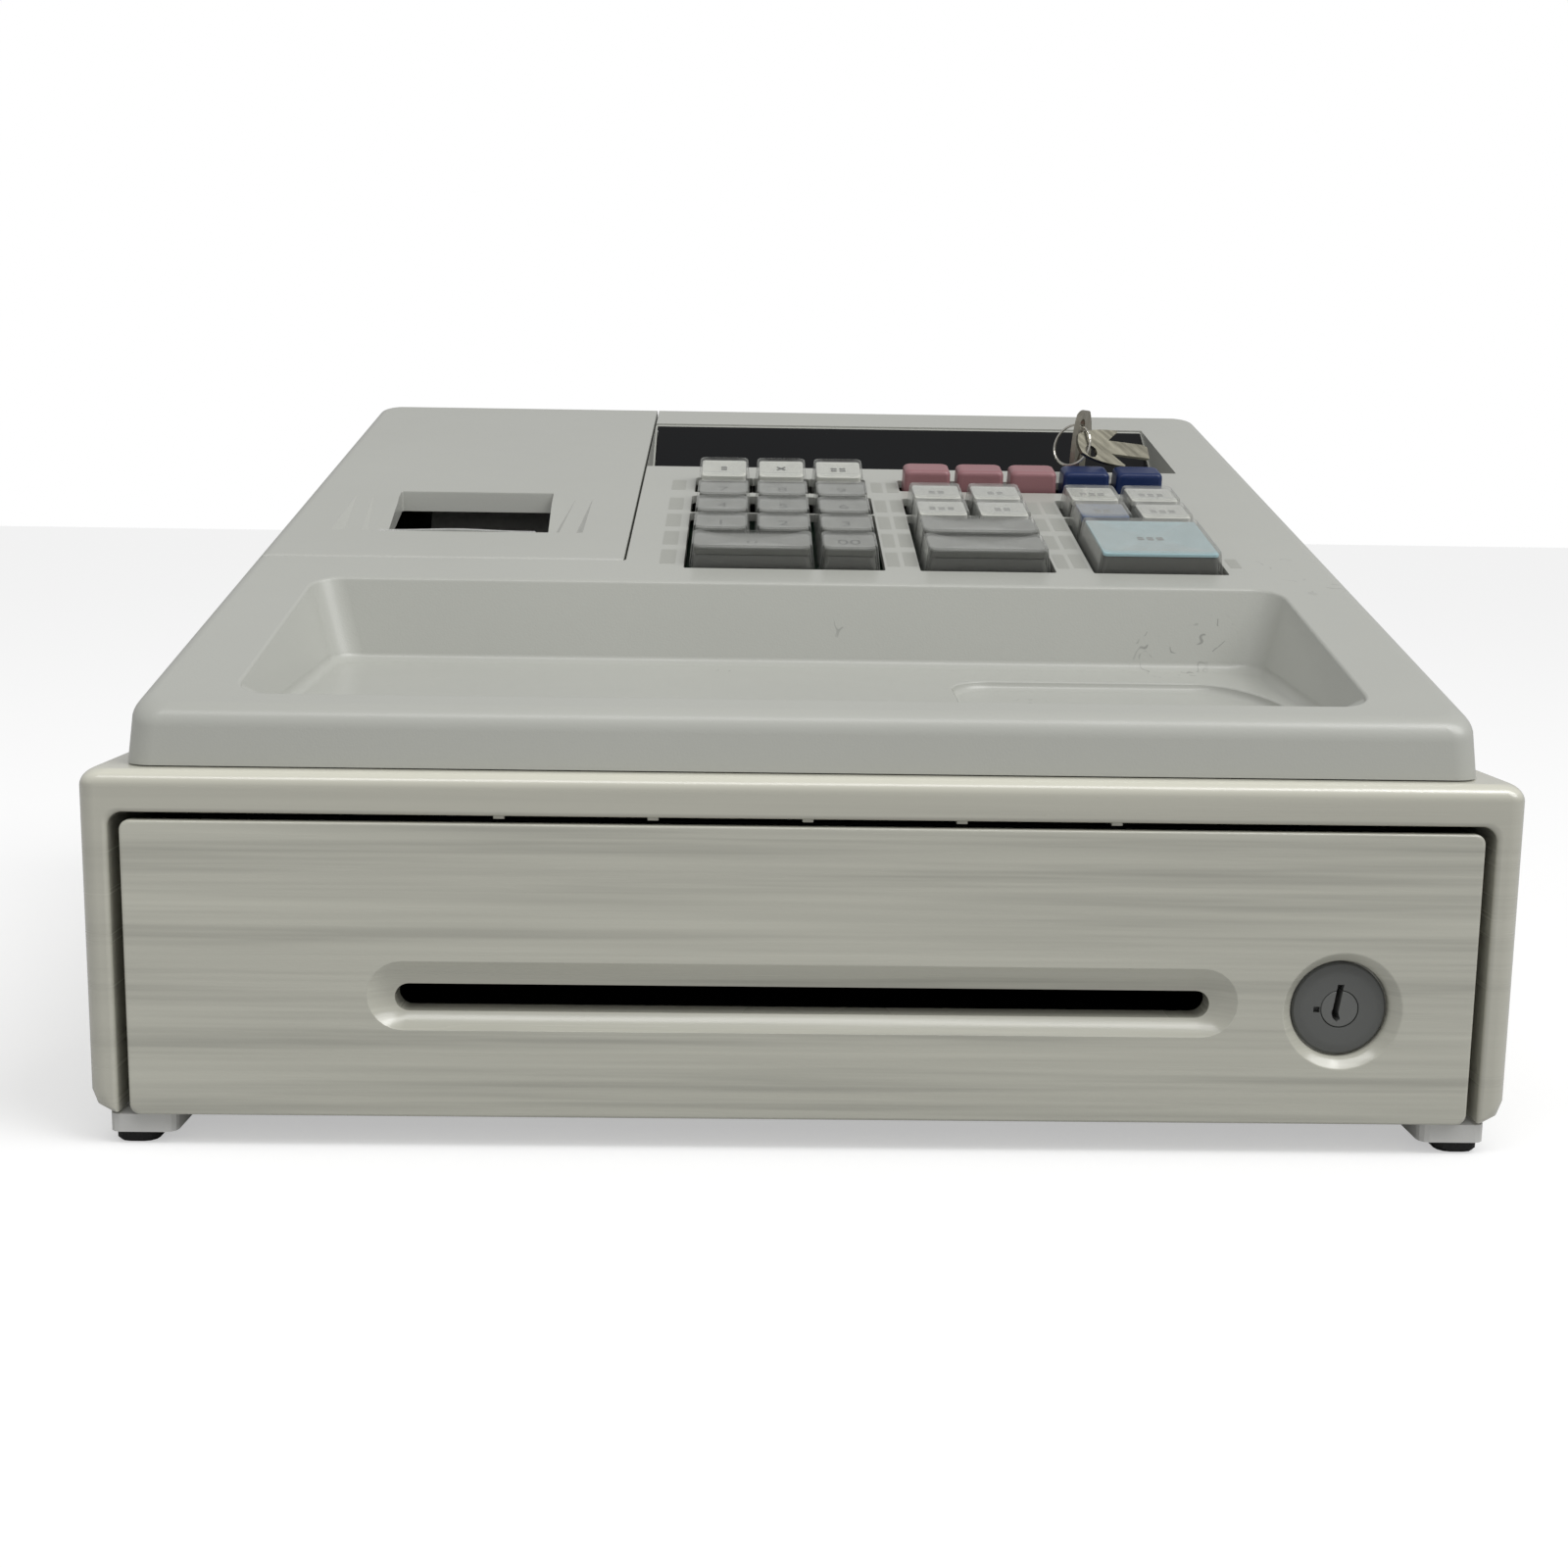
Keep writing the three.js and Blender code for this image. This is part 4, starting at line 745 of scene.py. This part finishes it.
def cabinet_shell():
    """The cabinet with its drawer bay, mouth, cord bore, cable hole, vents and stops."""
    xs, ys = (-CAB_HALF, CAB_HALF), (0, CAB_REAR)
    rings = [ring(inset(xs, by), ys, CAB_CORNER, CAB_BOTTOM + rise) for by, rise in CAB_FOOT]
    for by, drop in quarter(CAB_ROUND, 8):
        rings.append(ring(inset(xs, by), inset(ys, by), CAB_CORNER, CAB_TOP - drop))
    bay = block(inset(xs, CAB_WALL), (CAB_FRONT, CAB_REAR - CAB_WALL), (0, CAB_TOP - CAB_WALL), 2)
    mouth = loft([[(x, y, z) for x, z in frame_outline(0)] for y in (-1, CAB_FRONT + 1)])
    lips = [(-0.5, MOUTH_RIM)] + quarter(MOUTH_RIM, 6)
    rim = loft([[(x, y, z) for x, z in frame_outline(grow)] for y, grow in lips])
    through = (CAB_REAR - 10, CAB_REAR + 2)
    gland = rod(GLAND_RADIUS, through, "y", (GLAND[0], 0, GLAND[1]), 40)
    harness = block(*HARNESS, (CAB_TOP - 8, CAB_TOP + 2), 3)
    vents = [block((x, x + 3), through, VENT_Z, 1.4) for x in VENT_X]
    body = cut(loft(rings), bay, mouth, rim, gland, harness, *vents)
    stops = [block((x - 1.3, x + 1.3), (1.6, 6), (FRAME_TOP - 0.75, FRAME_TOP + 0.5), 0.3)
             for x in STOP_X]
    return cleaned(join(body, *stops))


piece(cabinet_shell(), "cabinet", "register", cabinet_plastic, ["cabinet_shell"])


# -------- drawer front
def stadium(half, bottom, top, steps=12):
    """A slot's outline in x and z, with round ends."""
    radius, middle = (top - bottom) / 2, (top + bottom) / 2
    points = []
    for cx, start in ((half - radius, -90), (-half + radius, 90)):
        points += arc((cx, middle), (radius, radius), start, 180, steps)
    return points


def drawer_front():
    """The drawer's panel with its media slot, the lock's dish and a rebate behind its upper edge."""
    xs = (-FRONT_HALF, FRONT_HALF)
    rings = [ring(xs, FRONT_Z, FRONT_CORNER, FRONT_THICK)]
    for by, deep in quarter(FRONT_ROUND, 6):
        rings.append(ring(inset(xs, by), inset(FRONT_Z, by), FRONT_CORNER, deep))
    panel = loft([[(x, y, z) for x, z, y in r] for r in rings])
    dish = []
    for deep, wide in DISH_FLANK:
        shape = [between(s, d, wide) for s, d in zip(SLOT, DISH)]
        dish.append([(x, deep * DISH_DEEP, z) for x, z in stadium(*shape)])
    slot = loft([[(x, y, z) for x, z in stadium(*SLOT)] for y in (DISH_DEEP - 0.4, FRONT_THICK + 1)])
    rebate = block((-FRAME_HALF, FRAME_HALF), (2.4, FRONT_THICK + 2), (FRONT_Z[1] - 5, FRONT_Z[1] + 2), 0.3)
    seat, bore, floor, rear = LOCK_DISC + 0.45, 8.5, LOCK_FACE + 2, FRONT_THICK + 1
    profile = [(0, -0.5), (LOCK_DISH + 0.7, -0.5), (LOCK_DISH + 0.35, 0.0), (LOCK_DISH - 0.1, 0.25),
               (seat + 0.7, LOCK_FACE - 0.8), (seat + 0.15, LOCK_FACE - 0.1), (seat, LOCK_FACE + 0.4),
               (seat, floor), (bore, floor), (bore, rear), (0, rear)]
    lock = lathe(profile, "y", (LOCK[0], 0, LOCK[1]), 96)
    return cleaned(cut(panel, loft(dish), slot, lock, rebate))


piece(drawer_front(), "drawer_face", "drawer", streaked_plastic, ["drawer_front"])


def keyway():
    """The lock's hooked key slot, cut into the plug and on into the disc above it."""
    outline = [(0.82, 5.9), (-0.05, 0.1), (-0.2, -0.9), (0.25, -2.5), (-0.6, -3.1), (-1.5, -2.2),
               (-1.9, -0.9), (-1.55, 0.2), (-0.68, 5.9)]
    return prism([(LOCK[0] + x, LOCK[1] + z) for x, z in outline], (-1, LOCK_FACE + 5), "y")


def drawer_lock():
    """The lock's disc, with a sunk mark, and the plug that turns in it with the cam behind."""
    (x, z), face, rear = LOCK, LOCK_FACE, FRONT_THICK + 12
    disc = lathe([(PLUG + PLUG_GAP, face), (8.4, face), (9.3, face + 0.2), (LOCK_DISC - 0.5, face + 0.5),
                  (LOCK_DISC, face + 1.0), (LOCK_DISC, face + 1.8), (8, face + 1.8), (8, rear),
                  (PLUG + PLUG_GAP, rear)], "y", (x, 0, z), 96)
    mark = block((x - 6.2, x - 4.7), (0, face + 1.6), (z - 0.9, z + 0.5), 0.2)
    plug = lathe([(0, face), (PLUG - 0.2, face), (PLUG, face + 0.2), (PLUG, rear + 5), (0, rear + 5)],
                 "y", (x, 0, z), 64)
    cam = block((x - 3, x + 3), (rear + 3.5, rear + 5.5), (z - 13, z + 3), 1.2)
    piece(cut(disc, keyway(), mark), "lock_disc", "drawer", lock_plastic, ["lock_bezel"], 28)
    piece(cut(join(plug, cam), keyway()), "lock_core", "drawer_lock", plug_plastic,
          ["lock_plug"], 28)


drawer_lock()


# -------- upper housing
def deck_height(y):
    """The deck's z over a place y."""
    return DECK_Z + y * math.tan(SLOPE)


def housing_form(by):
    """The housing's outside, or with by over 0 a form that much further in, for its hollow."""
    xs = inset((-HOUSING_EDGE, HOUSING_EDGE), by)
    ys = (HOUSING_Y[0] + 0.4 + by, DECK_REAR - by)
    corner = max(HOUSING_CORNER - by, 2)
    edge = EDGE - (1.5 if by else 0)
    foot = HOUSING_BASE - (2 if by else 0)
    rings = [ring(inset((-HOUSING_HALF, HOUSING_HALF), by), inset(HOUSING_Y, by), corner, foot, 10)]
    for inward, down in quarter(edge, 8):
        drop = down / math.cos(SLOPE) + by / math.cos(SLOPE)
        rings.append(ring(inset(xs, inward), inset(ys, inward), corner,
                          lambda x, y, drop=drop: min(deck_height(y) - drop, CEILING), 10))
    return loft(rings)


def tray_floor(y):
    """The coin tray's z over a place y: it rises a little towards the rear."""
    return between(FLOOR_Z[0], FLOOR_Z[1], (y - FLOOR_Y[0]) / (FLOOR_Y[1] - FLOOR_Y[0]))


def tray_form(by):
    """The coin tray: rounded feet of its walls and a rounded rim; by over 0 gives its outside."""
    rim_y = [s * math.cos(SLOPE) for s in TRAY_S]
    corner = TRAY_CORNER + by
    rings = []
    for rise, shrink in quarter(TRAY_FILLET, 6):
        xs = inset((-FLOOR_HALF - by, FLOOR_HALF + by), shrink)
        ys = (FLOOR_Y[0] - by + min(shrink, 2.4), FLOOR_Y[1] + by - shrink)
        rings.append(ring(xs, ys, corner, lambda x, y, rise=rise: min(
            tray_floor(y) - by + rise, deck_height(y) - 1.4)))
    rim = [(0, 0), (3, 0.5)]
    if not by:
        turns = [math.radians(degrees) for degrees in (0, 25, 50, 75, 90)]
        rim = [(-TRAY_RIM * (1 - math.sin(turn)), TRAY_RIM * (1 - math.cos(turn))) for turn in turns]
        rim.append((3, 4))
    for lift, grow in rim:
        half = TRAY_HALF + by + grow
        ys = (rim_y[0] - by - grow, rim_y[1] + by + grow)
        rings.append(ring((-half, half), ys, corner + grow, lambda x, y, lift=lift: deck_height(y) + lift))
    return loft(rings)


def pocket_outline(grow, height):
    """The pen rest's outline: three tight corners and one long sweep at the right rear."""
    (x0, x1), (y0, y1) = inset(PEN_X, -grow), inset(PEN_Y, -grow)
    tight, (wide, long) = PEN_CORNER + grow, PEN_SWEEP
    corners = ((x1 - tight, y0 + tight, tight, tight, -90), (x1 - wide, y1 - long, wide, long, 0),
               (x0 + tight, y1 - tight, tight, tight, 90), (x0 + tight, y0 + tight, tight, tight, 180))
    points = []
    for cx, cy, across, along, start in corners:
        points += arc((cx, cy), (across, along), start, 90, 10)
    return lifted(points, height)


def pen_pocket(by):
    """The pen rest in the tray's floor; by over 0 gives its outside."""
    rings = []
    for rise, shrink in quarter(PEN_FILLET, 4):
        rings.append(pocket_outline(
            by - shrink, lambda x, y, rise=rise: tray_floor(y) - PEN_DEEP - by + rise))
    if by:
        return loft(rings + [pocket_outline(by, lambda x, y: tray_floor(y) - 0.5)])
    for grow, lift in ((0.0, -0.5), (0.25, -0.15), (0.7, 0.02), (1.0, 1.0)):
        rings.append(pocket_outline(grow, lambda x, y, lift=lift: tray_floor(y) + lift))
    return loft(rings)


window_top = (DISPLAY_S[1] - 0.4, -0.2)
window_foot = (window_top[0] - WINDOW_RUN * math.cos(WINDOW_LEAN),
               window_top[1] - WINDOW_RUN * math.sin(WINDOW_LEAN))


def display_void(by):
    """The recess in front of the window; by over 0 gives its outside."""
    front, rear = DISPLAY_S[0] - by, DISPLAY_S[1] + by
    low = window_foot[1] - by
    outline = [(front, -1.2), (front, 6), (rear, 6), (rear, -0.6), (window_foot[0] + by, low),
               (window_foot[0] - 2, low)]
    return on_deck(prism(outline, (DISPLAY_X[0] - by, DISPLAY_X[1] + by), "x"))


def window_slab(near, far, grow):
    """A leaning slab from near to far below the window's face, larger all round by grow."""
    along = (-math.cos(WINDOW_LEAN), -math.sin(WINDOW_LEAN))
    under = (math.sin(WINDOW_LEAN), -math.cos(WINDOW_LEAN))
    start, end = WINDOW_GAP - grow, WINDOW_RUN - WINDOW_GAP + grow
    outline = [(window_top[0] + along[0] * run + under[0] * deep,
                window_top[1] + along[1] * run + under[1] * deep)
               for run, deep in ((start, near), (start, far), (end, far), (end, near))]
    return on_deck(prism(outline, inset(DISPLAY_X, WINDOW_GAP - grow), "x"))


def cover_region(grow):
    """The part of the housing that the printer's cover takes up."""
    return on_deck(block((-220, COVER_RIGHT + grow), (COVER_FRONT - grow, 420),
                         (-COVER_SKIRT - grow, 60), 0.3, 2))


def hole(xs, ss, radius=0.9, rim=0.35, deep=7.0):
    """A cutter for a deck opening whose rim is slightly rounded."""
    rings = [ring(xs, ss, radius, -deep, 4), ring(xs, ss, radius, -rim, 4)]
    for grow, drop in quarter(rim, 2)[1:]:
        rings.append(ring(inset(xs, -grow), inset(ss, -grow), radius, -drop, 4))
    rings.append(ring(inset(xs, -rim), inset(ss, -rim), radius, 4, 4))
    return on_deck(loft(rings))


def row_front(row):
    """Where a row of keys starts along the deck; the row nearest the tray is 1."""
    return ROW_FRONT + (row - 1) * KEY_PITCH_S


def deck_holes():
    """The openings for the keys and the mode lock, with a bar before each group's last row."""
    holes = []
    for left, columns in zip(GROUP_LEFT, GROUP_COLUMNS):
        xs = (left - MARGIN, left + (columns - 1) * KEY_PITCH_X + KEY_WIDE + MARGIN)
        bar = row_front(4) - (KEY_PITCH_S - KEY_DEEP) / 2
        holes.append(hole(xs, (ROW_FRONT - MARGIN, bar - 0.4)))
        holes.append(hole(xs, (bar + 0.4, row_front(4) + KEY_DEEP + MARGIN)))
    for column in range(3):
        x = GROUP_LEFT[0] + column * KEY_PITCH_X
        holes.append(hole((x - MARGIN / 2, x + TOP_WIDE + MARGIN / 2),
                          (TOP_FRONT - MARGIN / 2, TOP_FRONT + TOP_DEEP + MARGIN)))
    holes.append(hole((GROUP_LEFT[1] - MARGIN, GROUP_LEFT[1] + 4 * SOLID_PITCH + SOLID_WIDE + MARGIN),
                      (SOLID_S[0] - MARGIN, SOLID_S[1] + MARGIN)))
    holes.append(on_deck(rod(5.2, (-8, 4), "z", (MODE[0], MODE[1], 0), 40)))
    return holes


def seam_groove():
    """A small vee along the cover's seam, which breaks both of its edges."""
    rim, front_rim = 0.55, 0.9
    across = [(COVER_FRONT - front_rim - SEAM, 0.3), (COVER_FRONT, -front_rim),
              (COVER_FRONT + front_rim + SEAM, 0.3)]
    down = [(COVER_RIGHT - rim - SEAM, 0.3), (COVER_RIGHT, -rim), (COVER_RIGHT + rim + SEAM, 0.3)]
    return [on_deck(prism(across, (-170, COVER_RIGHT), "x")),
            on_deck(prism(down, (COVER_FRONT, 318), "y"))]


def upper_housing(shell):
    """The shell with tray, pen rest and display recess let in, less the cover."""
    bowls = common(join(tray_form(SKIN), display_void(SKIN)), housing_form(0.1))
    body = join(shell, bowls, pen_pocket(1.6))
    return cleaned(cut(body, tray_form(0), pen_pocket(0), display_void(0), window_slab(-8, 6.3, 0.3),
                       cover_region(SEAM), *seam_groove(), *deck_holes()))


def finger_ramp(edge, side, reach, deep):
    """A shallow wedge beside the paper's exit that runs out towards its rear."""
    front, rear = EXIT_S[0] + 0.2, EXIT_S[1] - 5
    inner, outer = edge - side * RAMP_INNER, edge + side * reach
    brow = outer + side * deep * RAMP_FLARE
    flank = outer + side * (RAMP_OVER + deep) * RAMP_FLARE
    bottom = [(inner, front, -deep), (outer, front, -deep), (brow, rear, 0), (inner, rear, 0)]
    top = lifted([(inner, front), (flank, front), (flank, rear), (inner, rear)], RAMP_OVER)
    if side < 0:
        bottom.reverse()
        top.reverse()
    return on_deck(loft([bottom, top]))


def tear_edge():
    """The tear bar in the exit: its upper edge swells a little in the middle."""
    steps, (x0, x1) = 24, inset(EXIT_X, 0.8)
    outline = [(x1, -5), (x0, -5)]
    for i in range(steps + 1):
        swell = 0.5 * math.sin(math.pi * i / steps) ** 3
        outline.append((between(x0, x1, i / steps), 0.1 + swell))
    return on_deck(prism(outline, (EXIT_S[0] + 0.1, EXIT_S[0] + 1.2), "y"))


def legend_tiles():
    """The faint printed panels on the deck beside the keys, one to each column and row."""
    tiles = []
    for left, right, along in PRINT_COLUMNS:
        for row in range(1, 5):
            front = row_front(row) + 2.4 + along
            tiles.append(((left, right), (front, front + PRINT_DEEP)))
    for left, right, _ in PRINT_COLUMNS[:3]:
        tiles.append(((left, right), (TOP_FRONT + 1.8, TOP_FRONT + 14.5)))
    tiles.append(PRINT_BY_TOTAL)
    return [loft([ring(xs, ss, 0.5, height, 3) for height in (-0.3, 0.03)]) for xs, ss in tiles]


def printer_cover(shell):
    """The cover: its part of the shell, with a collar round the paper's exit and finger ramps."""
    skin = common(shell, cover_region(-SEAM))
    collar = on_deck(block(inset(EXIT_X, -RAMPS[0][0] - 3), (EXIT_S[0] - 4, EXIT_S[1] + 3),
                           (-COLLAR_DEEP, -1), 3))
    exit_hole = on_deck(loft([ring(inset(EXIT_X, -grow), (EXIT_S[0], EXIT_S[1] + lean), 0.6, height, 4)
                              for grow, lean, height in EXIT_RIM]))
    ramps = [finger_ramp(edge, side, *size) for edge, side in zip(EXIT_X, (-1, 1)) for size in RAMPS]
    skew = Matrix(((1, EXIT_SKEW, 0, -EXIT_SKEW * EXIT_S[1]), (0, 1, 0, 0), (0, 0, 1, 0), (0, 0, 0, 1)))
    moved(exit_hole, deck_to_draw @ skew @ deck_to_draw.inverted())
    return cleaned(cut(join(skin, collar), exit_hole, *ramps, *seam_groove()))


shell = cut(housing_form(0), housing_form(SKIN))
cover_shell = twin(shell)
piece(upper_housing(shell), "housing", "register", housing_plastic, ["upper_housing"])
piece(printer_cover(cover_shell), "cover", "printer_cover", housing_plastic, ["printer_cover"])
piece(tear_edge(), "tear_edge", "printer_cover", bar_clear, ["tear_bar"], bevel=0.2)
piece(on_deck(combined_forms(legend_tiles())), "deck_print", "register", print_grey)
piece(window_slab(0.3, 2.3, 0), "window", "register", smoked, ["display_window"], bevel=0.25)


# -------- keys
def crowned(width, deep, front, rear, dish):
    """The height of a key's top: it rises from front to rear and is dished across."""
    def surface(x, y):
        return front + (rear - front) * y / deep - dish * (1 - (2 * x / width - 1) ** 2)
    return surface


def shrunk(outline, t, width, deep, height):
    """An outline drawn in towards a key's middle, on a height function."""
    return lifted([(between(x, width / 2, t), between(y, deep / 2, t)) for x, y, _ in outline], height)


def key_form(width, deep, surface, draft=0.85, top_round=0.8, low=-KEY_BELOW, hollow=0.1, steps=6):
    """A key: drafted walls, rounded upper edges and a slightly hollow top."""
    xs, ys = (0, width), (0, deep)
    rings = [ring(inset(xs, 0.2), inset(ys, 0.2), 1.2, height, steps) for height in (low, -0.5)]
    rings.append(ring(inset(xs, draft), inset(ys, draft), 1.7,
                      lambda x, y: surface(x, y) - top_round, steps))
    for inward, drop in quarter(top_round, 5)[1:]:
        by = draft + inward
        rings.append(ring(inset(xs, by), inset(ys, by), 1.9,
                          lambda x, y, drop=drop: surface(x, y) - drop, steps))
    edge = rings[-1]
    for t in (0.05, 0.12, 0.3, 0.5, 0.7, 0.9):
        sink = hollow * min(1, t * 8)
        rings.append(shrunk(edge, t, width, deep, lambda x, y, sink=sink: surface(x, y) - sink))
    return loft(rings)


def clear_cap(width, deep, surface):
    """A thin clear shell, open below."""
    wall, roof = 0.6, 0.75
    inner = key_form(width - 2 * wall, deep - 2 * wall, lambda x, y: surface(x + wall, y + wall) - roof,
                     top_round=0.5, low=-6)
    return cut(key_form(width, deep, surface, low=-4.6), moved(inner, Matrix.Translation((wall, wall, 0))))


def key_core(width, deep, surface, drop):
    """The opaque plunger under the cap: its top stays well below the cap's."""
    wall = 0.95
    core = key_form(width - 2 * wall, deep - 2 * wall, lambda x, y: surface(x + wall, y + wall) - drop,
                    draft=0.75, top_round=0.4, low=-4.8, hollow=0)
    return moved(core, Matrix.Translation((wall, wall, 0)))


def key_label(width, deep, surface, drop):
    """The printed insert between the core and the cap's roof, with a slightly turned-down rim."""
    wall = 1.55
    wide, long = width - 2 * wall, deep - 2 * wall

    def level(lift):
        return lambda x, y: surface(x + wall, y + wall) - LABEL_DROP + lift

    rim = ((0, LABEL_DROP - drop + 0.05), (0, -0.3), (0.08, -0.1), (0.3, 0))
    rings = [ring(inset((0, wide), by), inset((0, long), by), 1.1, level(lift), 5) for by, lift in rim]
    edge = rings[-1]
    rings += [shrunk(edge, t, wide, long, level(0)) for t in (0.1, 0.25, 0.4, 0.55, 0.7, 0.85)]
    return moved(loft(rings), Matrix.Translation((wall, wall, 0)))


def legend(text, width, deep, surface):
    """A numeral that lies on a key's label."""
    curve = bpy.data.curves.new("legend", "FONT")
    curve.body = text
    curve.size = NUMERAL
    curve.align_x, curve.align_y = "CENTER", "CENTER"
    curve.extrude = 0.05
    curve.resolution_u = 4
    temp = placed("legend", curve)
    graph = bpy.context.evaluated_depsgraph_get()
    mesh = bpy.data.meshes.new_from_object(temp.evaluated_get(graph))
    bpy.data.objects.remove(temp)
    for v in mesh.vertices:
        x, y = v.co.x + width / 2, v.co.y + deep / 2
        v.co = (x, y, v.co.z + surface(x, y) - LABEL_DROP + MARK_LIFT)
    return placed("form", mesh)


def bars(width, deep, surface, count):
    """Plain short blocks where a key carries words, each made of two strokes."""
    left = width / 2 - (count * (BAR_WIDE + BAR_GAP) - BAR_GAP) / 2

    def level(lift):
        return lambda x, y: surface(x, y) - LABEL_DROP + MARK_LIFT + lift

    marks = []
    for i in range(count):
        x = left + i * (BAR_WIDE + BAR_GAP)
        for y0, y1 in ((0.35, 1.5), (-1.5, -0.35)):
            xs, ys = (x, x + BAR_WIDE), (deep / 2 + y0, deep / 2 + y1)
            marks.append(loft([ring(xs, ys, 0.3, level(lift), 2) for lift in (-0.1, 0)]))
    return join(marks[0], *marks[1:])


# Each group of keys: name, column, columns wide, rows deep, row, and its numeral or number of marks.
KEY_ROWS = (
    (0, ("key_0", 0, 2, 1, 1, "0"), ("key_00", 2, 1, 1, 1, "00"),
     ("key_1", 0, 1, 1, 2, "1"), ("key_2", 1, 1, 1, 2, "2"), ("key_3", 2, 1, 1, 2, "3"),
     ("key_4", 0, 1, 1, 3, "4"), ("key_5", 1, 1, 1, 3, "5"), ("key_6", 2, 1, 1, 3, "6"),
     ("key_7", 0, 1, 1, 4, "7"), ("key_8", 1, 1, 1, 4, "8"), ("key_9", 2, 1, 1, 4, "9")),
    (1, ("key_grey_wide_1", 0, 2, 1, 1, ""), ("key_grey_wide_2", 0, 2, 1, 2, ""),
     ("key_white_1", 0, 1, 1, 3, 3), ("key_white_2", 1, 1, 1, 3, 2),
     ("key_white_3", 0, 1, 1, 4, 2), ("key_white_4", 1, 1, 1, 4, 2)),
    (2, ("key_total", 0, 2, 2, 1, 3),
     ("key_lilac", 0, 1, 1, 3, 2), ("key_white_5", 1, 1, 1, 3, 3),
     ("key_white_6", 0, 1, 1, 4, 3), ("key_white_7", 1, 1, 1, 4, 3)),
)
TOP_KEYS = {"key_feed": 1, "key_times": "×", "key_clear": 2}
TOP_TALL = (6, 8)                 # at the front and at the rear
SOLID_KEYS = ("key_pink_1", "key_pink_2", "key_pink_3", "key_blue_1", "key_blue_2")


def capped_key(name, left, front_s, width, deep, front, rear, mark):
    """A clear cap over a printed label over an opaque key."""
    at = deck_to_draw @ Matrix.Translation((left, front_s, 0))
    surface = crowned(width, deep, front, rear, KEY_DISH[width > 1.5 * KEY_WIDE])
    looks = {"key_total": ("key_cyan", label_cyan), "key_lilac": ("key_lilac", label_lilac)}
    white = "white" in name or name in TOP_KEYS
    slot, label = looks.get(name, ("key_white", label_white) if white else ("key_grey", label_grey))
    drop = TOTAL_DROP if name == "key_total" else CORE_DROP
    cap = clear_cap(width, deep, surface)
    core = key_core(width, deep, surface, drop)
    insert = key_label(width, deep, surface, drop)
    piece(moved(cap, at), name + "_cap", name, cap_clear, [name], 35)
    piece(moved(core, at), name + "_core", name, key_base_grey, (), 40)
    piece(moved(insert, at), name + "_label", name, label, (), 40)
    if isinstance(mark, str) and mark:
        marks = legend(mark, width, deep, surface)
    elif mark:
        marks = bars(width, deep, surface, mark)
    else:
        return
    piece(moved(marks, at), name + "_mark", name, ink_grey)


def solid_key(name, column):
    """One of the five plain coloured keys, with a wide soft rounding round its top."""
    deep = SOLID_S[1] - SOLID_S[0]
    surface = crowned(SOLID_WIDE, deep, SOLID_TALL, SOLID_TALL, 0.12)
    solid = key_form(SOLID_WIDE, deep, surface, 0.3, 1.6, hollow=0.05, steps=8)
    left = GROUP_LEFT[1] + column * SOLID_PITCH
    moved(solid, deck_to_draw @ Matrix.Translation((left, SOLID_S[0], 0)))
    pink = "pink" in name
    piece(solid, name + "_top", name,
          pink_plastic if pink else blue_plastic, [name], 45)


def keys():
    for group, *row in KEY_ROWS:
        for name, column, wide, tall, number, mark in row:
            capped_key(name, GROUP_LEFT[group] + column * KEY_PITCH_X, row_front(number),
                       (wide - 1) * KEY_PITCH_X + KEY_WIDE, (tall - 1) * KEY_PITCH_S + KEY_DEEP,
                       KEY_TALL, KEY_TALL, mark)
    for column, (name, mark) in enumerate(TOP_KEYS.items()):
        capped_key(name, GROUP_LEFT[0] + column * KEY_PITCH_X, TOP_FRONT, TOP_WIDE, TOP_DEEP,
                   *TOP_TALL, mark)
    for column, name in enumerate(SOLID_KEYS):
        solid_key(name, column)


keys()


# -------- CAD nodes that keep their shape
# Each node's material, and the width of its soft edges.
CARRIED = {
    "base_plate": (base_plastic, 0.6), "cord_inlet": (rubber, 0),
    "drawer_body": (drawer_plastic, 0.5), "till_tray": (till_plastic, 0.4),
    "release_solenoid": (zinc, 0.3), "display_board": (board_green, 0), "main_board": (board_green, 0),
    "mode_lock": (chrome, 0), "mode_rotor": (chrome, 0), "mode_key": (nickel, 0.3),
    "key_ring": (bright_wire, 0), "spare_key": (dull_nickel, 0.25),
    "printer_frame": (dusty_black, 0.3), "platen_roller": (dusty_rubber, 0), "paper_roll": (paper, 0),
}
for place in ("front_left", "front_right", "rear_left", "rear_right"):
    CARRIED["foot_" + place] = (rubber, 0.25)
for number in (1, 2, 3):
    CARRIED[f"bill_arm_{number}"] = (black_plastic, 0.3)


def dress_nodes():
    for name, (material, width) in CARRIED.items():
        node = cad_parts[name]
        node.data.materials.clear()
        node.data.materials.append(material)
        if width:
            softened(node, width, 40)


dress_nodes()
